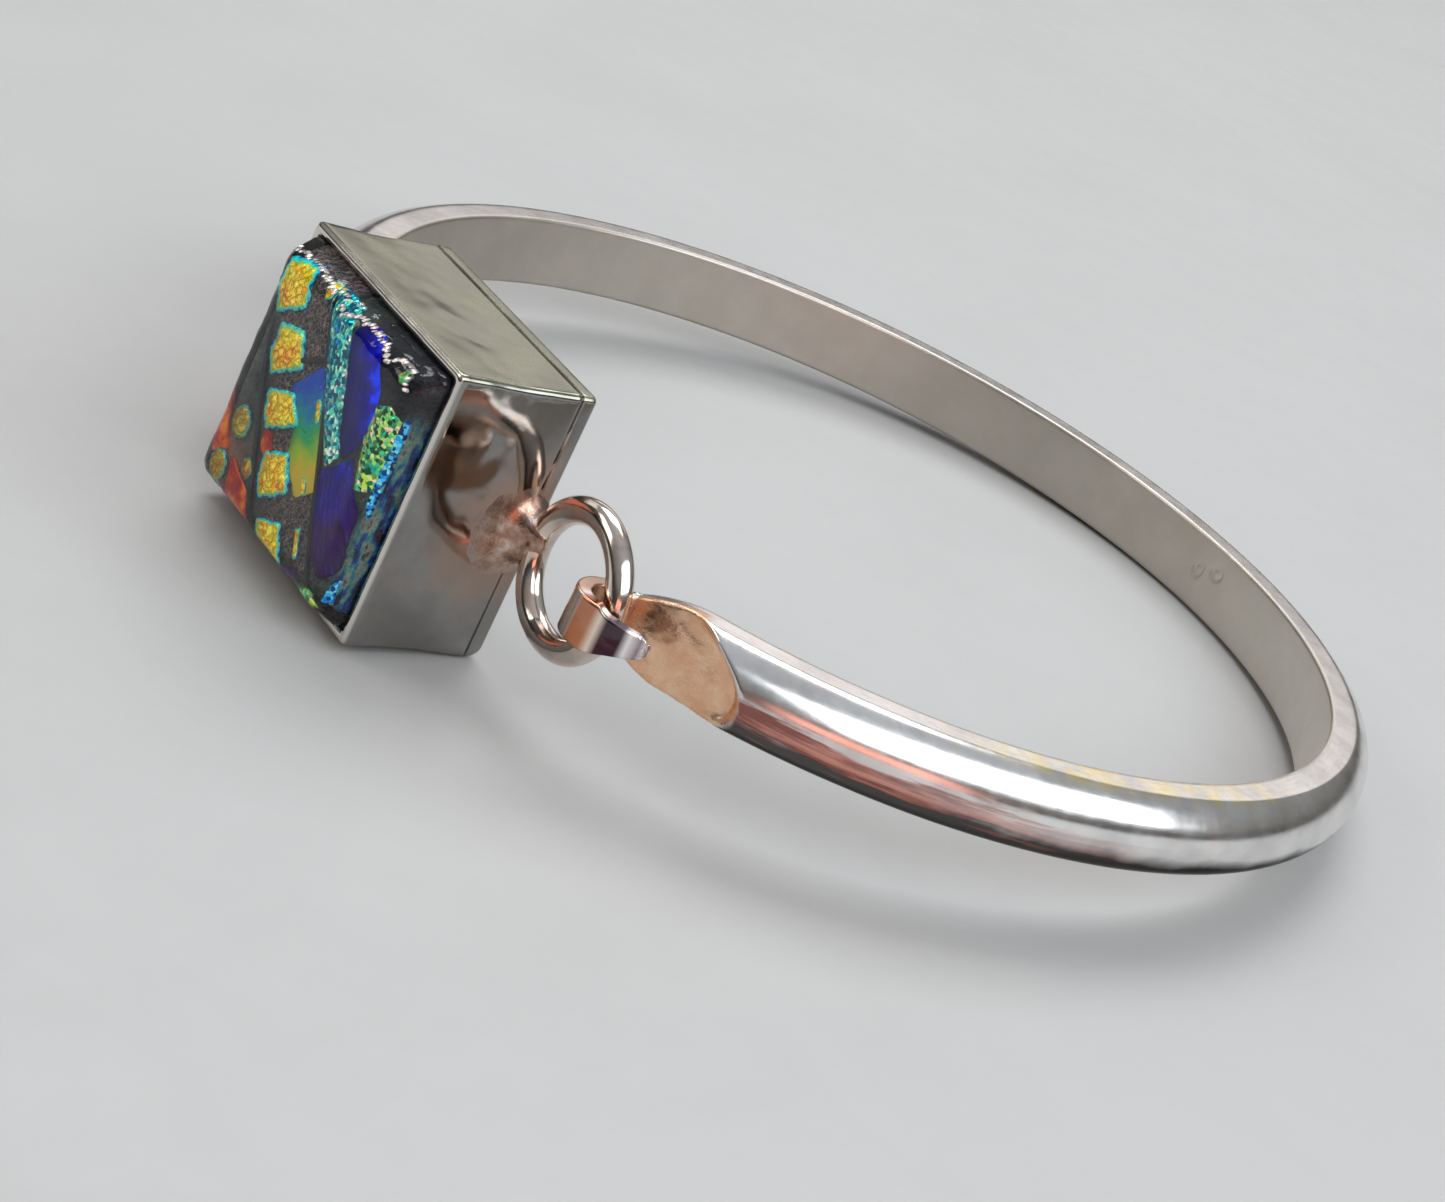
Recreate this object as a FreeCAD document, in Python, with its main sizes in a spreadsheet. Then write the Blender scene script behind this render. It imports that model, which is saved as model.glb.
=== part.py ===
"""A silver bangle whose two hooked ends carry a glass-set bezel.

Millimetres, +Z up along the bangle's axis. The origin is the centre of the wrist opening,
the bezel sits at -Y with its glass facing -Y, and the catch is on the +X side.
"""
import FreeCAD, Part
import math
import os

import Sketcher
from FreeCAD import Placement, Rotation, Vector

SIZES = {
    # the bent bar
    "wrist_radius": 31.0,
    "band_width": 4.7,
    "band_crown": 3.3,
    "band_edge": 1.65,
    "band_rounding": 0.3,
    # the hooked ends: a flat filed on the bar, a narrowed strip and the bend round the ring
    "hook_angle": 29.9,
    "pivot_radius": 33.34,
    "flat_distance": 32.05,
    "bend_radius": 1.17,
    "hook_thickness": 0.85,
    "hook_height": 2.6,
    "hook_drop": 0.15,
    "hook_shift": 0.3,
    "hook_reach": 2.4,
    "hook_step": 0.08,
    "catch_mouth": 1.8,
    "hinge_mouth": 0.35,
    "shoulder_low": 8.7,
    "shoulder_middle": 6.8,
    "shoulder_high": 2.6,
    "taper_length": 4.4,
    "leg_width": 1.4,
    # the bezel, a sheet collar on a back plate
    "bezel_width": 16.6,
    "bezel_height": 15.9,
    "bezel_depth": 8.6,
    "bezel_back": 28.4,
    "wall_thickness": 0.6,
    "plate_thickness": 0.9,
    "plate_lip": 0.06,
    "plate_rounding": 0.85,
    # the wire rings and the solder that holds them
    "ring_radius": 3.62,
    "wire_radius": 0.76,
    "solder_height": 2.1,
    "solder_reach": 1.9,
    "solder_depth": 1.7,
    # the fused glass block, from its packing outwards
    "glass_gap": 0.05,
    "backing_thickness": 1.9,
    "base_thickness": 3.2,
    "strip_thickness": 0.8,
    "cap_rise": 0.3,
    "dome_rise": 1.7,
    "dome_slope": 20.0,
    "dome_rounding": 0.7,
}

# outlines of the coloured glass strips, as (x, z) corners seen from the front
GOLD_OUTLINE = [(-7.4, 6.2), (-5.6, 6.9), (1.2, -6.9), (-2.0, -6.9), (-7.4, 2.6)]
TEAL_OUTLINE = [(-4.6, 7.0), (-2.9, 7.0), (2.6, -2.2), (4.3, -6.9), (2.6, -6.9), (1.0, -2.6)]
COBALT_OUTLINE = [(-1.2, 7.0), (1.6, 7.0), (4.0, 1.5), (5.9, -6.9), (4.8, -6.9), (3.1, -2.2)]


def make_sheet(doc):
    """Put every driving size in a spreadsheet cell with its own alias."""
    sheet = doc.addObject("Spreadsheet::Sheet", "Sizes")
    for row, (alias, value) in enumerate(SIZES.items(), start=1):
        sheet.set(f"A{row}", alias)
        sheet.set(f"B{row}", str(value))
        sheet.setAlias(f"B{row}", alias)
    doc.recompute()
    return sheet


def bind(item, **formulas):
    """Bind an object's properties to formulas of the sheet's cells."""
    for name, formula in formulas.items():
        item.setExpression(name, formula)


def add_body(doc, label):
    body = doc.addObject("PartDesign::Body", label)
    body.Label = label
    return body


def add_sketch(body, name, plane, offset=None):
    """Attach a sketch to one of the body's own origin planes."""
    sketch = body.newObject("Sketcher::SketchObject", name)
    for feature in body.Origin.OriginFeatures:
        if feature.Role == plane:
            sketch.AttachmentSupport = [(feature, "")]
    sketch.MapMode = "FlatFace"
    if offset is not None:
        sketch.AttachmentOffset = offset
    return sketch


def draw_outline(sketch, start, steps):
    """Draw a closed outline. A step is an end point, or an arc's middle point and end point."""
    here = start
    first = sketch.GeometryCount
    for step in steps:
        end = step[-1]
        corners = [Vector(point[0], point[1], 0) for point in (here,) + tuple(step)]
        if len(step) == 1:
            sketch.addGeometry(Part.LineSegment(*corners), False)
        else:
            sketch.addGeometry(Part.Arc(*corners), False)
        here = end
    for edge in range(first, sketch.GeometryCount):
        sketch.addConstraint(Sketcher.Constraint("Block", edge))


def draw_polygon(sketch, corners):
    draw_outline(sketch, corners[0], [(corner,) for corner in corners[1:] + corners[:1]])


def hook_plane(side, distance):
    """Offset from the XZ plane to one that faces outwards at a hook, at a distance from the axis.

    In that plane x runs along the band away from the -X side, and y runs up.
    """
    angle = math.radians(SIZES["hook_angle"]) * side
    base = Vector(distance * math.sin(angle), 0, distance * math.cos(angle))
    return Placement(base, Rotation(Vector(0, 1, 0), math.degrees(angle)))


def ring_centre(side):
    angle = math.radians(SIZES["hook_angle"])
    along = SIZES["pivot_radius"] * math.sin(angle) - SIZES["ring_radius"]
    return Vector(side * along, -SIZES["pivot_radius"] * math.cos(angle), 0)


def add_bar(body):
    """The D-section bar, bent round from one hook to the other."""
    inner = SIZES["wrist_radius"]
    half = SIZES["band_width"] / 2
    edge = inner + SIZES["band_edge"]
    crown = inner + SIZES["band_crown"]
    sketch = add_sketch(body, "bar_section", "YZ_Plane")
    sketch.addGeometry(Part.LineSegment(Vector(inner, half, 0), Vector(inner, -half, 0)), False)
    sketch.addGeometry(Part.LineSegment(Vector(inner, -half, 0), Vector(edge, -half, 0)), False)
    dome = Part.Arc(Vector(edge, -half, 0), Vector(crown, 0, 0), Vector(edge, half, 0))
    sketch.addGeometry(dome, False)
    sketch.addGeometry(Part.LineSegment(Vector(edge, half, 0), Vector(inner, half, 0)), False)
    for before, after in ((0, 1), (3, 0)):
        sketch.addConstraint(Sketcher.Constraint("Coincident", before, 2, after, 1))
    for line, line_end, arc_end in ((1, 2, 1), (3, 1, 2)):
        sketch.addConstraint(Sketcher.Constraint("Coincident", line, line_end, 2, arc_end))
    sketch.addConstraint(Sketcher.Constraint("Horizontal", 1))
    sketch.addConstraint(Sketcher.Constraint("Horizontal", 3))
    sketch.addConstraint(Sketcher.Constraint("Symmetric", 0, 1, 0, 2, -1))
    named = (
        ("inner", Sketcher.Constraint("DistanceX", -1, 1, 0, 1, inner), "Sizes.wrist_radius"),
        ("width", Sketcher.Constraint("Distance", 0, 2 * half), "Sizes.band_width"),
        ("edge", Sketcher.Constraint("Distance", 1, edge - inner), "Sizes.band_edge"),
        (
            "dome",
            Sketcher.Constraint("Radius", 2, sketch.Geometry[2].Radius),
            "((Sizes.band_width / 2)^2 + (Sizes.band_crown - Sizes.band_edge)^2)"
            " / (2 * (Sizes.band_crown - Sizes.band_edge))",
        ),
    )
    for name, constraint, formula in named:
        index = sketch.addConstraint(constraint)
        sketch.renameConstraint(index, name)
        sketch.setExpression(f"Constraints.{name}", formula)
    bar = body.newObject("PartDesign::Revolution", "bar")
    bar.Profile = sketch
    bar.ReferenceAxis = (sketch, ["V_Axis"])
    bar.Midplane = True
    bind(bar, Angle="360 - 2 * Sizes.hook_angle")
    return bar


def round_inner_edges(body, bar):
    """Soften the two edges that touch the wrist."""
    inner_edges = []
    for number, edge in enumerate(bar.Shape.Edges, start=1):
        curve = edge.Curve
        if isinstance(curve, Part.Circle) and abs(curve.Radius - SIZES["wrist_radius"]) < 0.01:
            inner_edges.append(f"Edge{number}")
    softened = body.newObject("PartDesign::Fillet", "bar_edges")
    softened.Base = (bar, inner_edges)
    bind(softened, Radius="Sizes.band_rounding")


def add_hook(body, name, side, mouth):
    """The strip that runs on from the bar, goes through the ring and bends back over its wire.

    Sketch coordinates are (along the band, towards the axis).
    """
    bend = SIZES["bend_radius"]
    thickness = SIZES["hook_thickness"]
    reach = SIZES["hook_reach"]
    shift = -SIZES["hook_shift"]
    flat = SIZES["flat_distance"]
    centre = flat + bend
    tip_inner = flat + mouth
    tip_outer = tip_inner + 0.6 * thickness
    leg_inner = centre + bend
    leg_outer = leg_inner + thickness
    back = SIZES["wrist_radius"] + SIZES["hook_step"]
    overlap = 1.6

    def point(along, out):
        return (side * along, -out)

    start = point(overlap, back)
    steps = [
        (point(shift, back),),
        (point(shift - bend - thickness, centre), point(shift, leg_outer)),
        (point(0.45 * reach, leg_outer - 0.2 * (leg_outer - tip_outer)), point(reach, tip_outer)),
        (
            point(reach + 0.3 * thickness, (tip_inner + tip_outer) / 2 - 0.1 * thickness),
            point(reach - 0.25 * thickness, tip_inner),
        ),
        (point(0.42 * reach, leg_inner - 0.16 * (leg_inner - tip_inner)), point(shift, leg_inner)),
        (point(shift - bend, centre), point(shift, flat)),
        (point(overlap, flat),),
        (start,),
    ]
    angle = Rotation(Vector(0, 0, 1), side * SIZES["hook_angle"])
    offset = Placement(Vector(0, 0, -SIZES["hook_drop"]), angle)
    sketch = add_sketch(body, name + "_bend", "XY_Plane", offset)
    draw_outline(sketch, start, steps)
    strip = body.newObject("PartDesign::Pad", name + "_strip")
    strip.Profile = sketch
    strip.Midplane = True
    bind(strip, Length="Sizes.hook_height")
    return strip


def cut_from_hook(body, name, side, distance, outlines, depth):
    """Cut outlines, drawn on a plane that faces outwards at a hook, away from the axis."""
    sketch = add_sketch(body, name + "_outline", "XZ_Plane", hook_plane(side, distance))
    for start, steps in outlines:
        draw_outline(sketch, start, steps)
    cut = body.newObject("PartDesign::Pocket", name)
    cut.Profile = sketch
    cut.Reversed = True
    cut.Length = depth
    return cut


def mirrored(side, outline):
    """Turn a list of outline points to the other hook."""
    start, steps = outline
    turned = [tuple((side * along, up) for along, up in step) for step in steps]
    return (side * start[0], start[1]), turned


def add_flat(body, name, side):
    """File the dome away at a hook, up to a slanting curved shoulder."""
    margin = 0.6
    top = SIZES["band_width"] / 2 + margin
    end = -0.4
    belly = (SIZES["shoulder_middle"], 0.8)
    shoulder = ((end, top), [
        ((end, -top),),
        ((SIZES["shoulder_low"], -top),),
        (belly, (SIZES["shoulder_high"], top)),
        ((end, top),),
    ])
    outline = mirrored(side, shoulder)
    depth = SIZES["band_crown"] + margin
    return cut_from_hook(body, name + "_flat", side, SIZES["flat_distance"], [outline], depth)


def narrow_end(body, name, side):
    """Narrow the flat towards the strip with a sweeping curve above and below."""
    wide = SIZES["band_width"] / 2
    beyond = wide + 0.6
    end = -0.3
    curve_start = 0.2
    curve_bend = 1.4
    curve_end = SIZES["taper_length"]
    outlines = []
    for up in (1, -1):
        level = up * (SIZES["hook_height"] / 2 + SIZES["hook_step"]) - SIZES["hook_drop"]
        curve = ((end, level), [
            ((curve_start, level),),
            ((curve_bend, level + up * 0.55), (curve_end, up * (wide + 0.02))),
            ((curve_end, up * beyond),),
            ((end, up * beyond),),
            ((end, level),),
        ])
        outlines.append(mirrored(side, curve))
    inside = SIZES["wrist_radius"] - 1.6
    depth = SIZES["flat_distance"] - inside + 0.25
    return cut_from_hook(body, name + "_taper", side, inside, outlines, depth)


def taper_leg(body, name, side):
    """Draw the hook's front leg down to a rounded tip."""
    upper = SIZES["hook_height"] / 2 - SIZES["hook_drop"]
    lower = -SIZES["hook_height"] / 2 - SIZES["hook_drop"]
    half = SIZES["leg_width"] / 2
    margin = 0.5
    bend = -SIZES["hook_shift"] - 0.2
    neck = 0.3
    knee = 1.2
    tip = SIZES["hook_reach"] + 0.25
    shape = ((bend, upper + margin), [
        ((bend, upper),),
        ((neck, half + 0.15), (knee, half + 0.08)),
        ((tip - half, half),),
        ((tip, 0.0), (tip - half, -half)),
        ((knee, -half - 0.3),),
        ((neck, -half - 0.57), (bend, lower)),
        ((bend, lower - margin),),
        ((tip + margin, lower - margin),),
        ((tip + margin, upper + margin),),
        ((bend, upper + margin),),
    ])
    outline = mirrored(side, shape)
    middle = SIZES["flat_distance"] + SIZES["bend_radius"]
    depth = SIZES["bend_radius"] + SIZES["hook_thickness"] + 2
    return cut_from_hook(body, name + "_leg_outline", side, middle, [outline], depth)


def make_band(doc):
    """One forged bar: the bend, a filed flat at each end, and the two hooks."""
    body = add_body(doc, "band")
    bar = add_bar(body)
    doc.recompute()
    round_inner_edges(body, bar)
    doc.recompute()
    for name, side, mouth in (("catch", 1, SIZES["catch_mouth"]), ("hinge", -1, SIZES["hinge_mouth"])):
        features = (add_flat, narrow_end)
        for feature in features:
            before = body.Shape.Volume
            feature(body, name, side)
            doc.recompute()
            check_cut(body, before)
        add_hook(body, name, side, mouth)
        doc.recompute()
        before = body.Shape.Volume
        taper_leg(body, name, side)
        doc.recompute()
        check_cut(body, before)
    return body


def check_cut(body, before):
    """A cut that points away from the solid removes nothing, so its volume is compared."""
    if body.Shape.Volume > before - 0.01:
        raise RuntimeError(f"{body.Tip.Label} removed nothing")


def make_bezel_wall(doc):
    """The collar: a box open at the front and at the back, where its plate closes it."""
    outer = doc.addObject("Part::Box", "collar_outer")
    bind(
        outer,
        Length="Sizes.bezel_width",
        Width="Sizes.bezel_depth - Sizes.plate_thickness",
        Height="Sizes.bezel_height",
    )
    bind(
        outer,
        **{
            "Placement.Base.x": "-Sizes.bezel_width / 2",
            "Placement.Base.y": "-Sizes.bezel_back - Sizes.bezel_depth",
            "Placement.Base.z": "-Sizes.bezel_height / 2",
        },
    )
    inner = doc.addObject("Part::Box", "collar_inner")
    bind(
        inner,
        Length="Sizes.bezel_width - 2 * Sizes.wall_thickness",
        Width="Sizes.bezel_depth + 2",
        Height="Sizes.bezel_height - 2 * Sizes.wall_thickness",
    )
    bind(
        inner,
        **{
            "Placement.Base.x": "-Sizes.bezel_width / 2 + Sizes.wall_thickness",
            "Placement.Base.y": "-Sizes.bezel_back - Sizes.bezel_depth - 1",
            "Placement.Base.z": "-Sizes.bezel_height / 2 + Sizes.wall_thickness",
        },
    )
    collar = doc.addObject("Part::Cut", "bezel_wall")
    collar.Base = outer
    collar.Tool = inner
    collar.Label = "bezel_wall"
    return collar


def make_bezel_back(doc):
    """The back plate, a hair larger than the collar, its lower rear edge worn round."""
    plate = doc.addObject("Part::Box", "plate_blank")
    bind(
        plate,
        Length="Sizes.bezel_width + 2 * Sizes.plate_lip",
        Width="Sizes.plate_thickness",
        Height="Sizes.bezel_height + 2 * Sizes.plate_lip",
    )
    bind(
        plate,
        **{
            "Placement.Base.x": "-Sizes.bezel_width / 2 - Sizes.plate_lip",
            "Placement.Base.y": "-Sizes.bezel_back - Sizes.plate_thickness",
            "Placement.Base.z": "-Sizes.bezel_height / 2 - Sizes.plate_lip",
        },
    )
    doc.recompute()
    rounded = doc.addObject("Part::Fillet", "bezel_back")
    rounded.Base = plate
    for number, edge in enumerate(plate.Shape.Edges, start=1):
        centre = edge.CenterOfMass
        low = centre.z < -SIZES["bezel_height"] / 2
        rear = abs(centre.y + SIZES["bezel_back"]) < 0.01
        if low and rear:
            rounded.Edges = [(number, SIZES["plate_rounding"], SIZES["plate_rounding"])]
    rounded.Label = "bezel_back"
    return rounded


def glass_block(doc, name, start, thickness):
    """A slab that fills the collar, from a distance in front of the back plate."""
    slab = doc.addObject("Part::Box", name)
    bind(
        slab,
        Length="Sizes.bezel_width - 2 * (Sizes.wall_thickness + Sizes.glass_gap)",
        Width=thickness,
        Height="Sizes.bezel_height - 2 * (Sizes.wall_thickness + Sizes.glass_gap)",
    )
    front = f"-Sizes.bezel_back - Sizes.plate_thickness - {start} - {thickness}"
    bind(
        slab,
        **{
            "Placement.Base.x": "-Sizes.bezel_width / 2 + Sizes.wall_thickness + Sizes.glass_gap",
            "Placement.Base.y": front,
            "Placement.Base.z": "-Sizes.bezel_height / 2 + Sizes.wall_thickness + Sizes.glass_gap",
        },
    )
    slab.Label = name
    return slab


def strip_back():
    """How far the back of the coloured strips is from the origin."""
    depth = SIZES["plate_thickness"] + SIZES["backing_thickness"] + SIZES["base_thickness"]
    return SIZES["bezel_back"] + depth


def make_strip(doc, name, outline):
    """A flat strip of coloured glass that lies on the dark base."""
    body = add_body(doc, name)
    offset = Placement(Vector(0, 0, strip_back()), Rotation())
    sketch = add_sketch(body, name + "_outline", "XZ_Plane", offset)
    draw_polygon(sketch, outline)
    pad = body.newObject("PartDesign::Pad", name + "_sheet")
    pad.Profile = sketch
    bind(pad, Length="Sizes.strip_thickness")
    return body


def make_cap(doc):
    """The clear glass: a block up to just past the rim, then a sloping dome with a soft edge."""
    body = add_body(doc, "glass_cap")
    back = strip_back() + SIZES["strip_thickness"]
    rim = SIZES["bezel_back"] + SIZES["bezel_depth"]
    inset = SIZES["wall_thickness"] + SIZES["glass_gap"]
    wide = SIZES["bezel_width"] / 2 - inset
    tall = SIZES["bezel_height"] / 2 - inset
    corners = [(-wide, -tall), (wide, -tall), (wide, tall), (-wide, tall)]
    lower = add_sketch(body, "cap_foot", "XZ_Plane", Placement(Vector(0, 0, back), Rotation()))
    draw_polygon(lower, corners)
    foot = body.newObject("PartDesign::Pad", "cap_block")
    foot.Profile = lower
    foot.Length = rim + SIZES["cap_rise"] - back
    height = rim + SIZES["cap_rise"]
    upper = add_sketch(body, "dome_foot", "XZ_Plane", Placement(Vector(0, 0, height), Rotation()))
    draw_polygon(upper, corners)
    dome = body.newObject("PartDesign::Pad", "cap_dome")
    dome.Profile = upper
    bind(dome, Length="Sizes.dome_rise", TaperAngle="-Sizes.dome_slope")
    doc.recompute()
    top = -(height + SIZES["dome_rise"])
    soft_edges = []
    for number, edge in enumerate(dome.Shape.Edges, start=1):
        if edge.CenterOfMass.y < top + 0.01:
            soft_edges.append(f"Edge{number}")
    softened = body.newObject("PartDesign::Fillet", "cap_edges")
    softened.Base = (dome, soft_edges)
    bind(softened, Radius="Sizes.dome_rounding")
    return body


def make_ring(doc, name, side):
    """A ring of round wire standing on a side wall, with its hole facing front and back."""
    ring = doc.addObject("Part::Torus", name)
    bind(ring, Radius1="Sizes.ring_radius", Radius2="Sizes.wire_radius")
    ring.Placement = Placement(ring_centre(side), Rotation(Vector(1, 0, 0), 90))
    ring.Label = name
    return ring


def make_solder(doc, name, side, ring):
    """A lump of solder between a side wall and its ring."""
    lump = doc.addObject("Part::Ellipsoid", name + "_lump")
    bind(
        lump,
        Radius1="Sizes.solder_height",
        Radius2="Sizes.solder_reach",
        Radius3="Sizes.solder_depth",
    )
    wall = side * SIZES["bezel_width"] / 2
    lump.Placement = Placement(Vector(wall, ring.Placement.Base.y - 0.25, -0.2), Rotation())
    keep = doc.addObject("Part::Box", name + "_side")
    keep.Length = 4
    keep.Width = SIZES["bezel_depth"] - SIZES["plate_thickness"] - 1
    keep.Height = 10
    corner_x = wall if side > 0 else wall - keep.Length.Value
    corner_y = -SIZES["bezel_back"] - SIZES["bezel_depth"] + 1
    keep.Placement = Placement(Vector(corner_x, corner_y, -5), Rotation())
    outside = doc.addObject("Part::Common", name + "_outside")
    outside.Base = lump
    outside.Tool = keep
    solder = doc.addObject("Part::Cut", name)
    solder.Base = outside
    solder.Tool = ring
    solder.Label = name
    return solder


def export(doc, pieces):
    """Check every object, then write each piece to its own file."""
    for item in doc.Objects:
        broken = [state for state in item.State if state in ("Invalid", "Error")]
        if broken:
            raise RuntimeError(f"{item.Label} is {broken}")
    for piece in pieces:
        shape = piece.Shape
        if shape.isNull() or not shape.isValid() or len(shape.Solids) != 1:
            raise RuntimeError(f"{piece.Label} is not one valid solid")
    os.makedirs("parts", exist_ok=True)
    for piece in pieces:
        piece.Shape.exportStep(f"parts/{piece.Label}.step")
        box = piece.Shape.BoundBox
        print(f"{piece.Label:20s} {piece.Shape.Volume:9.2f} mm3  "
              f"x {box.XMin:7.2f} {box.XMax:7.2f}  y {box.YMin:7.2f} {box.YMax:7.2f}  "
              f"z {box.ZMin:6.2f} {box.ZMax:6.2f}")


def main():
    doc = FreeCAD.newDocument("bangle")
    make_sheet(doc)
    pieces = [make_band(doc), make_bezel_wall(doc), make_bezel_back(doc)]
    pieces.append(glass_block(doc, "glass_backing", "0", "Sizes.backing_thickness"))
    pieces.append(glass_block(doc, "glass_base", "Sizes.backing_thickness", "Sizes.base_thickness"))
    pieces.append(make_strip(doc, "glass_gold_strip", GOLD_OUTLINE))
    pieces.append(make_strip(doc, "glass_teal_strip", TEAL_OUTLINE))
    pieces.append(make_strip(doc, "glass_cobalt_leaf", COBALT_OUTLINE))
    pieces.append(make_cap(doc))
    for name, side in (("catch", 1), ("hinge", -1)):
        ring = make_ring(doc, name + "_ring", side)
        doc.recompute()
        pieces.append(ring)
        pieces.append(make_solder(doc, name + "_solder", side, ring))
    doc.recompute()
    export(doc, pieces)


main()
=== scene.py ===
"""A silver bangle with hooked ends and a bezel of dichroic glass, on a pale studio floor."""
import math

import bpy
import numpy as np
from mathutils import Matrix, Vector, noise


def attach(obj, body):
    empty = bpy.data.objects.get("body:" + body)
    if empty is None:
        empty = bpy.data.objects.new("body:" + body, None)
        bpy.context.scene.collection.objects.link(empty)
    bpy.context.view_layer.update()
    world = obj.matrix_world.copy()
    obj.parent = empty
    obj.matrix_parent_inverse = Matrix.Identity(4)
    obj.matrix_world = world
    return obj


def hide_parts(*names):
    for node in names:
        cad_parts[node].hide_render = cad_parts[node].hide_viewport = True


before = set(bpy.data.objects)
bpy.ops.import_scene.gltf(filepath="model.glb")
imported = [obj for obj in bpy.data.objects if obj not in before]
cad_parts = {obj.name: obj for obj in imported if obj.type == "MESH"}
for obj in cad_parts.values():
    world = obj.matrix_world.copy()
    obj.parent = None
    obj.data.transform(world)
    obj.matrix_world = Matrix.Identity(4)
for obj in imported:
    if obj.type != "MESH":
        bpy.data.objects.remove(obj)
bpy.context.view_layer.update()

# ---------------------------------------------------------------- sizes, in millimetres
MM = 0.001
WRIST_RADIUS = 31.0
HALF_WIDTH = 2.35
CROWN = 3.3
EDGE = 1.65
HOOK_ANGLE = math.radians(29.9)
FLAT_DISTANCE = 32.05
STRIP_BACK = 31.08
BEND_RADIUS = 1.17
HOOK_THICKNESS = 0.85
HOOK_SHIFT = -0.3
HOOK_REACH = 2.4
HOOK_HALF_HEIGHT = 1.3
HOOK_DROP = 0.15
CATCH_MOUTH = 1.8
HINGE_MOUTH = 0.35
WALL_WIDE = 8.3
WALL_TALL = 7.95
WALL_THICKNESS = 0.6
WALL_FRONT = -37.0
WALL_REAR = -29.3
PLATE_REAR = -28.4
PLATE_LIP = 0.01
PLATE_ROUNDING = 0.85
RING_RADIUS = 3.62
WIRE_RADIUS = 0.76
RING_CENTRE = (13.0, -28.9)
GLASS_WIDE = 7.65
GLASS_TALL = 7.3
GLASS_REAR = -35.2
DOME_FOOT = -37.3
DOME_RISE = 1.68


# ---------------------------------------------------------------- mesh code
def make_piece(name, points, faces, body, stands_for=(), attributes=None):
    """A smooth-shaded mesh from points in millimetres, riding on a body."""
    mesh = bpy.data.meshes.new(name)
    mesh.from_pydata((np.asarray(points, float) * MM).tolist(), [], faces)
    mesh.validate()
    for key, values in (attributes or {}).items():
        layer = mesh.attributes.new(key, "FLOAT", "POINT")
        layer.data.foreach_set("value", np.asarray(values, np.float32))
    mesh.polygons.foreach_set("use_smooth", [True] * len(mesh.polygons))
    piece = bpy.data.objects.new(name, mesh)
    bpy.context.scene.collection.objects.link(piece)
    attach(piece, body)
    if stands_for:
        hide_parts(*stands_for)
    return piece


def loft(rows, close_rows=False):
    """Points and faces of a skin over closed rows with equally many points each, its ends capped."""
    count = len(rows[0])
    points = [tuple(point) for row in rows for point in row]
    faces = []
    last = len(rows) if close_rows else len(rows) - 1
    for row in range(last):
        here = row * count
        there = (row + 1) % len(rows) * count
        for column in range(count):
            beside = (column + 1) % count
            faces.append((here + column, here + beside, there + beside, there + column))
    if not close_rows:
        for start, turn in ((0, -1), ((len(rows) - 1) * count, 1)):
            centre = len(points)
            points.append(tuple(np.mean(np.asarray(rows[start // count], float), axis=0)))
            for column in range(count):
                beside = (column + 1) % count
                faces.append((start + column, start + beside, centre)[::turn])
    return np.array(points), faces


def full_turn(count):
    """Evenly spaced angles once round."""
    return np.linspace(0, 2 * math.pi, count, endpoint=False)


def smooth_step(low, high, value):
    """0 at one bound, 1 at the other, eased between them."""
    share = np.clip((np.asarray(value, float) - low) / (high - low), 0, 1)
    return share * share * (3 - 2 * share)


def through(knots, value):
    """The parabola through three (input, output) knots."""
    total = 0.0
    for i, (at, height) in enumerate(knots):
        weight = 1.0
        for j, (other, _) in enumerate(knots):
            if i != j:
                weight = weight * (value - other) / (at - other)
        total = total + height * weight
    return total


def ripple(points, scale, seed):
    """Smooth noise from -1 to 1 at points in millimetres."""
    shift = Vector((seed * 7.3, seed * 3.1, seed * 5.7))
    return np.array([noise.noise(Vector(point) * scale + shift) for point in points])


def resampled(ring, count):
    """A closed 2-D outline with evenly spaced points, starting where it starts."""
    ring = np.asarray(ring, float)
    closed = np.vstack([ring, ring[:1]])
    steps = np.hypot(*np.diff(closed, axis=0).T)
    distance = np.concatenate([[0], np.cumsum(steps)])
    wanted = np.linspace(0, distance[-1], count, endpoint=False)
    evened = [np.interp(wanted, distance, closed[:, axis]) for axis in range(closed.shape[1])]
    return np.stack(evened, 1), distance[-1] / count


def softened(ring, spacing, radius):
    """Round a closed outline's corners by averaging it along its length."""
    for _ in range(max(1, int(round(2 * (radius / spacing) ** 2)))):
        ring = 0.5 * ring + 0.25 * (np.roll(ring, 1, axis=0) + np.roll(ring, -1, axis=0))
    return ring


# ---------------------------------------------------------------- the band
RING_POINTS = 96
CORNER = 0.1
SHAPED_LENGTH = 10.2
PLAIN_FROM = 10.0
TAPER_LENGTH = 4.4
FINE_STEP = 0.12
PLAIN_STEP = 0.8
SHOULDER_REACH = 7.2
SHOULDER_HEIGHT = -0.8
STRIP_LOW = -HOOK_HALF_HEIGHT - HOOK_DROP
STRIP_HIGH = HOOK_HALF_HEIGHT - HOOK_DROP
BEND_OUTER = 2.02
TIP_START = 1.9
TIP_LENGTH = 0.82
TIP_OVERSHOOT = 1.1
MARK_AT = 79.0
MARK_SPAN = 2.5
MARK_DEPTH = 0.11


def dome_height(up):
    """Distance of the domed face from the wrist face, across the bar."""
    radius = (HALF_WIDTH ** 2 + (CROWN - EDGE) ** 2) / (2 * (CROWN - EDGE))
    return CROWN - radius + np.sqrt(np.maximum(radius ** 2 - np.asarray(up, float) ** 2, 0))


def past_shoulder(along, up):
    """Distance past the curved edge where the filed flat ends, square to that edge."""
    off = np.asarray(up, float) - SHOULDER_HEIGHT
    above = np.maximum(off, 0)
    below = np.maximum(-off, 0)
    edge = SHOULDER_REACH - 0.36 * above ** 2 - 0.35 * below ** 2.72
    slope = 0.72 * above + 0.95 * below ** 1.72
    return (along * 1.03 - edge) / np.sqrt(1 + slope ** 2)


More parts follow.
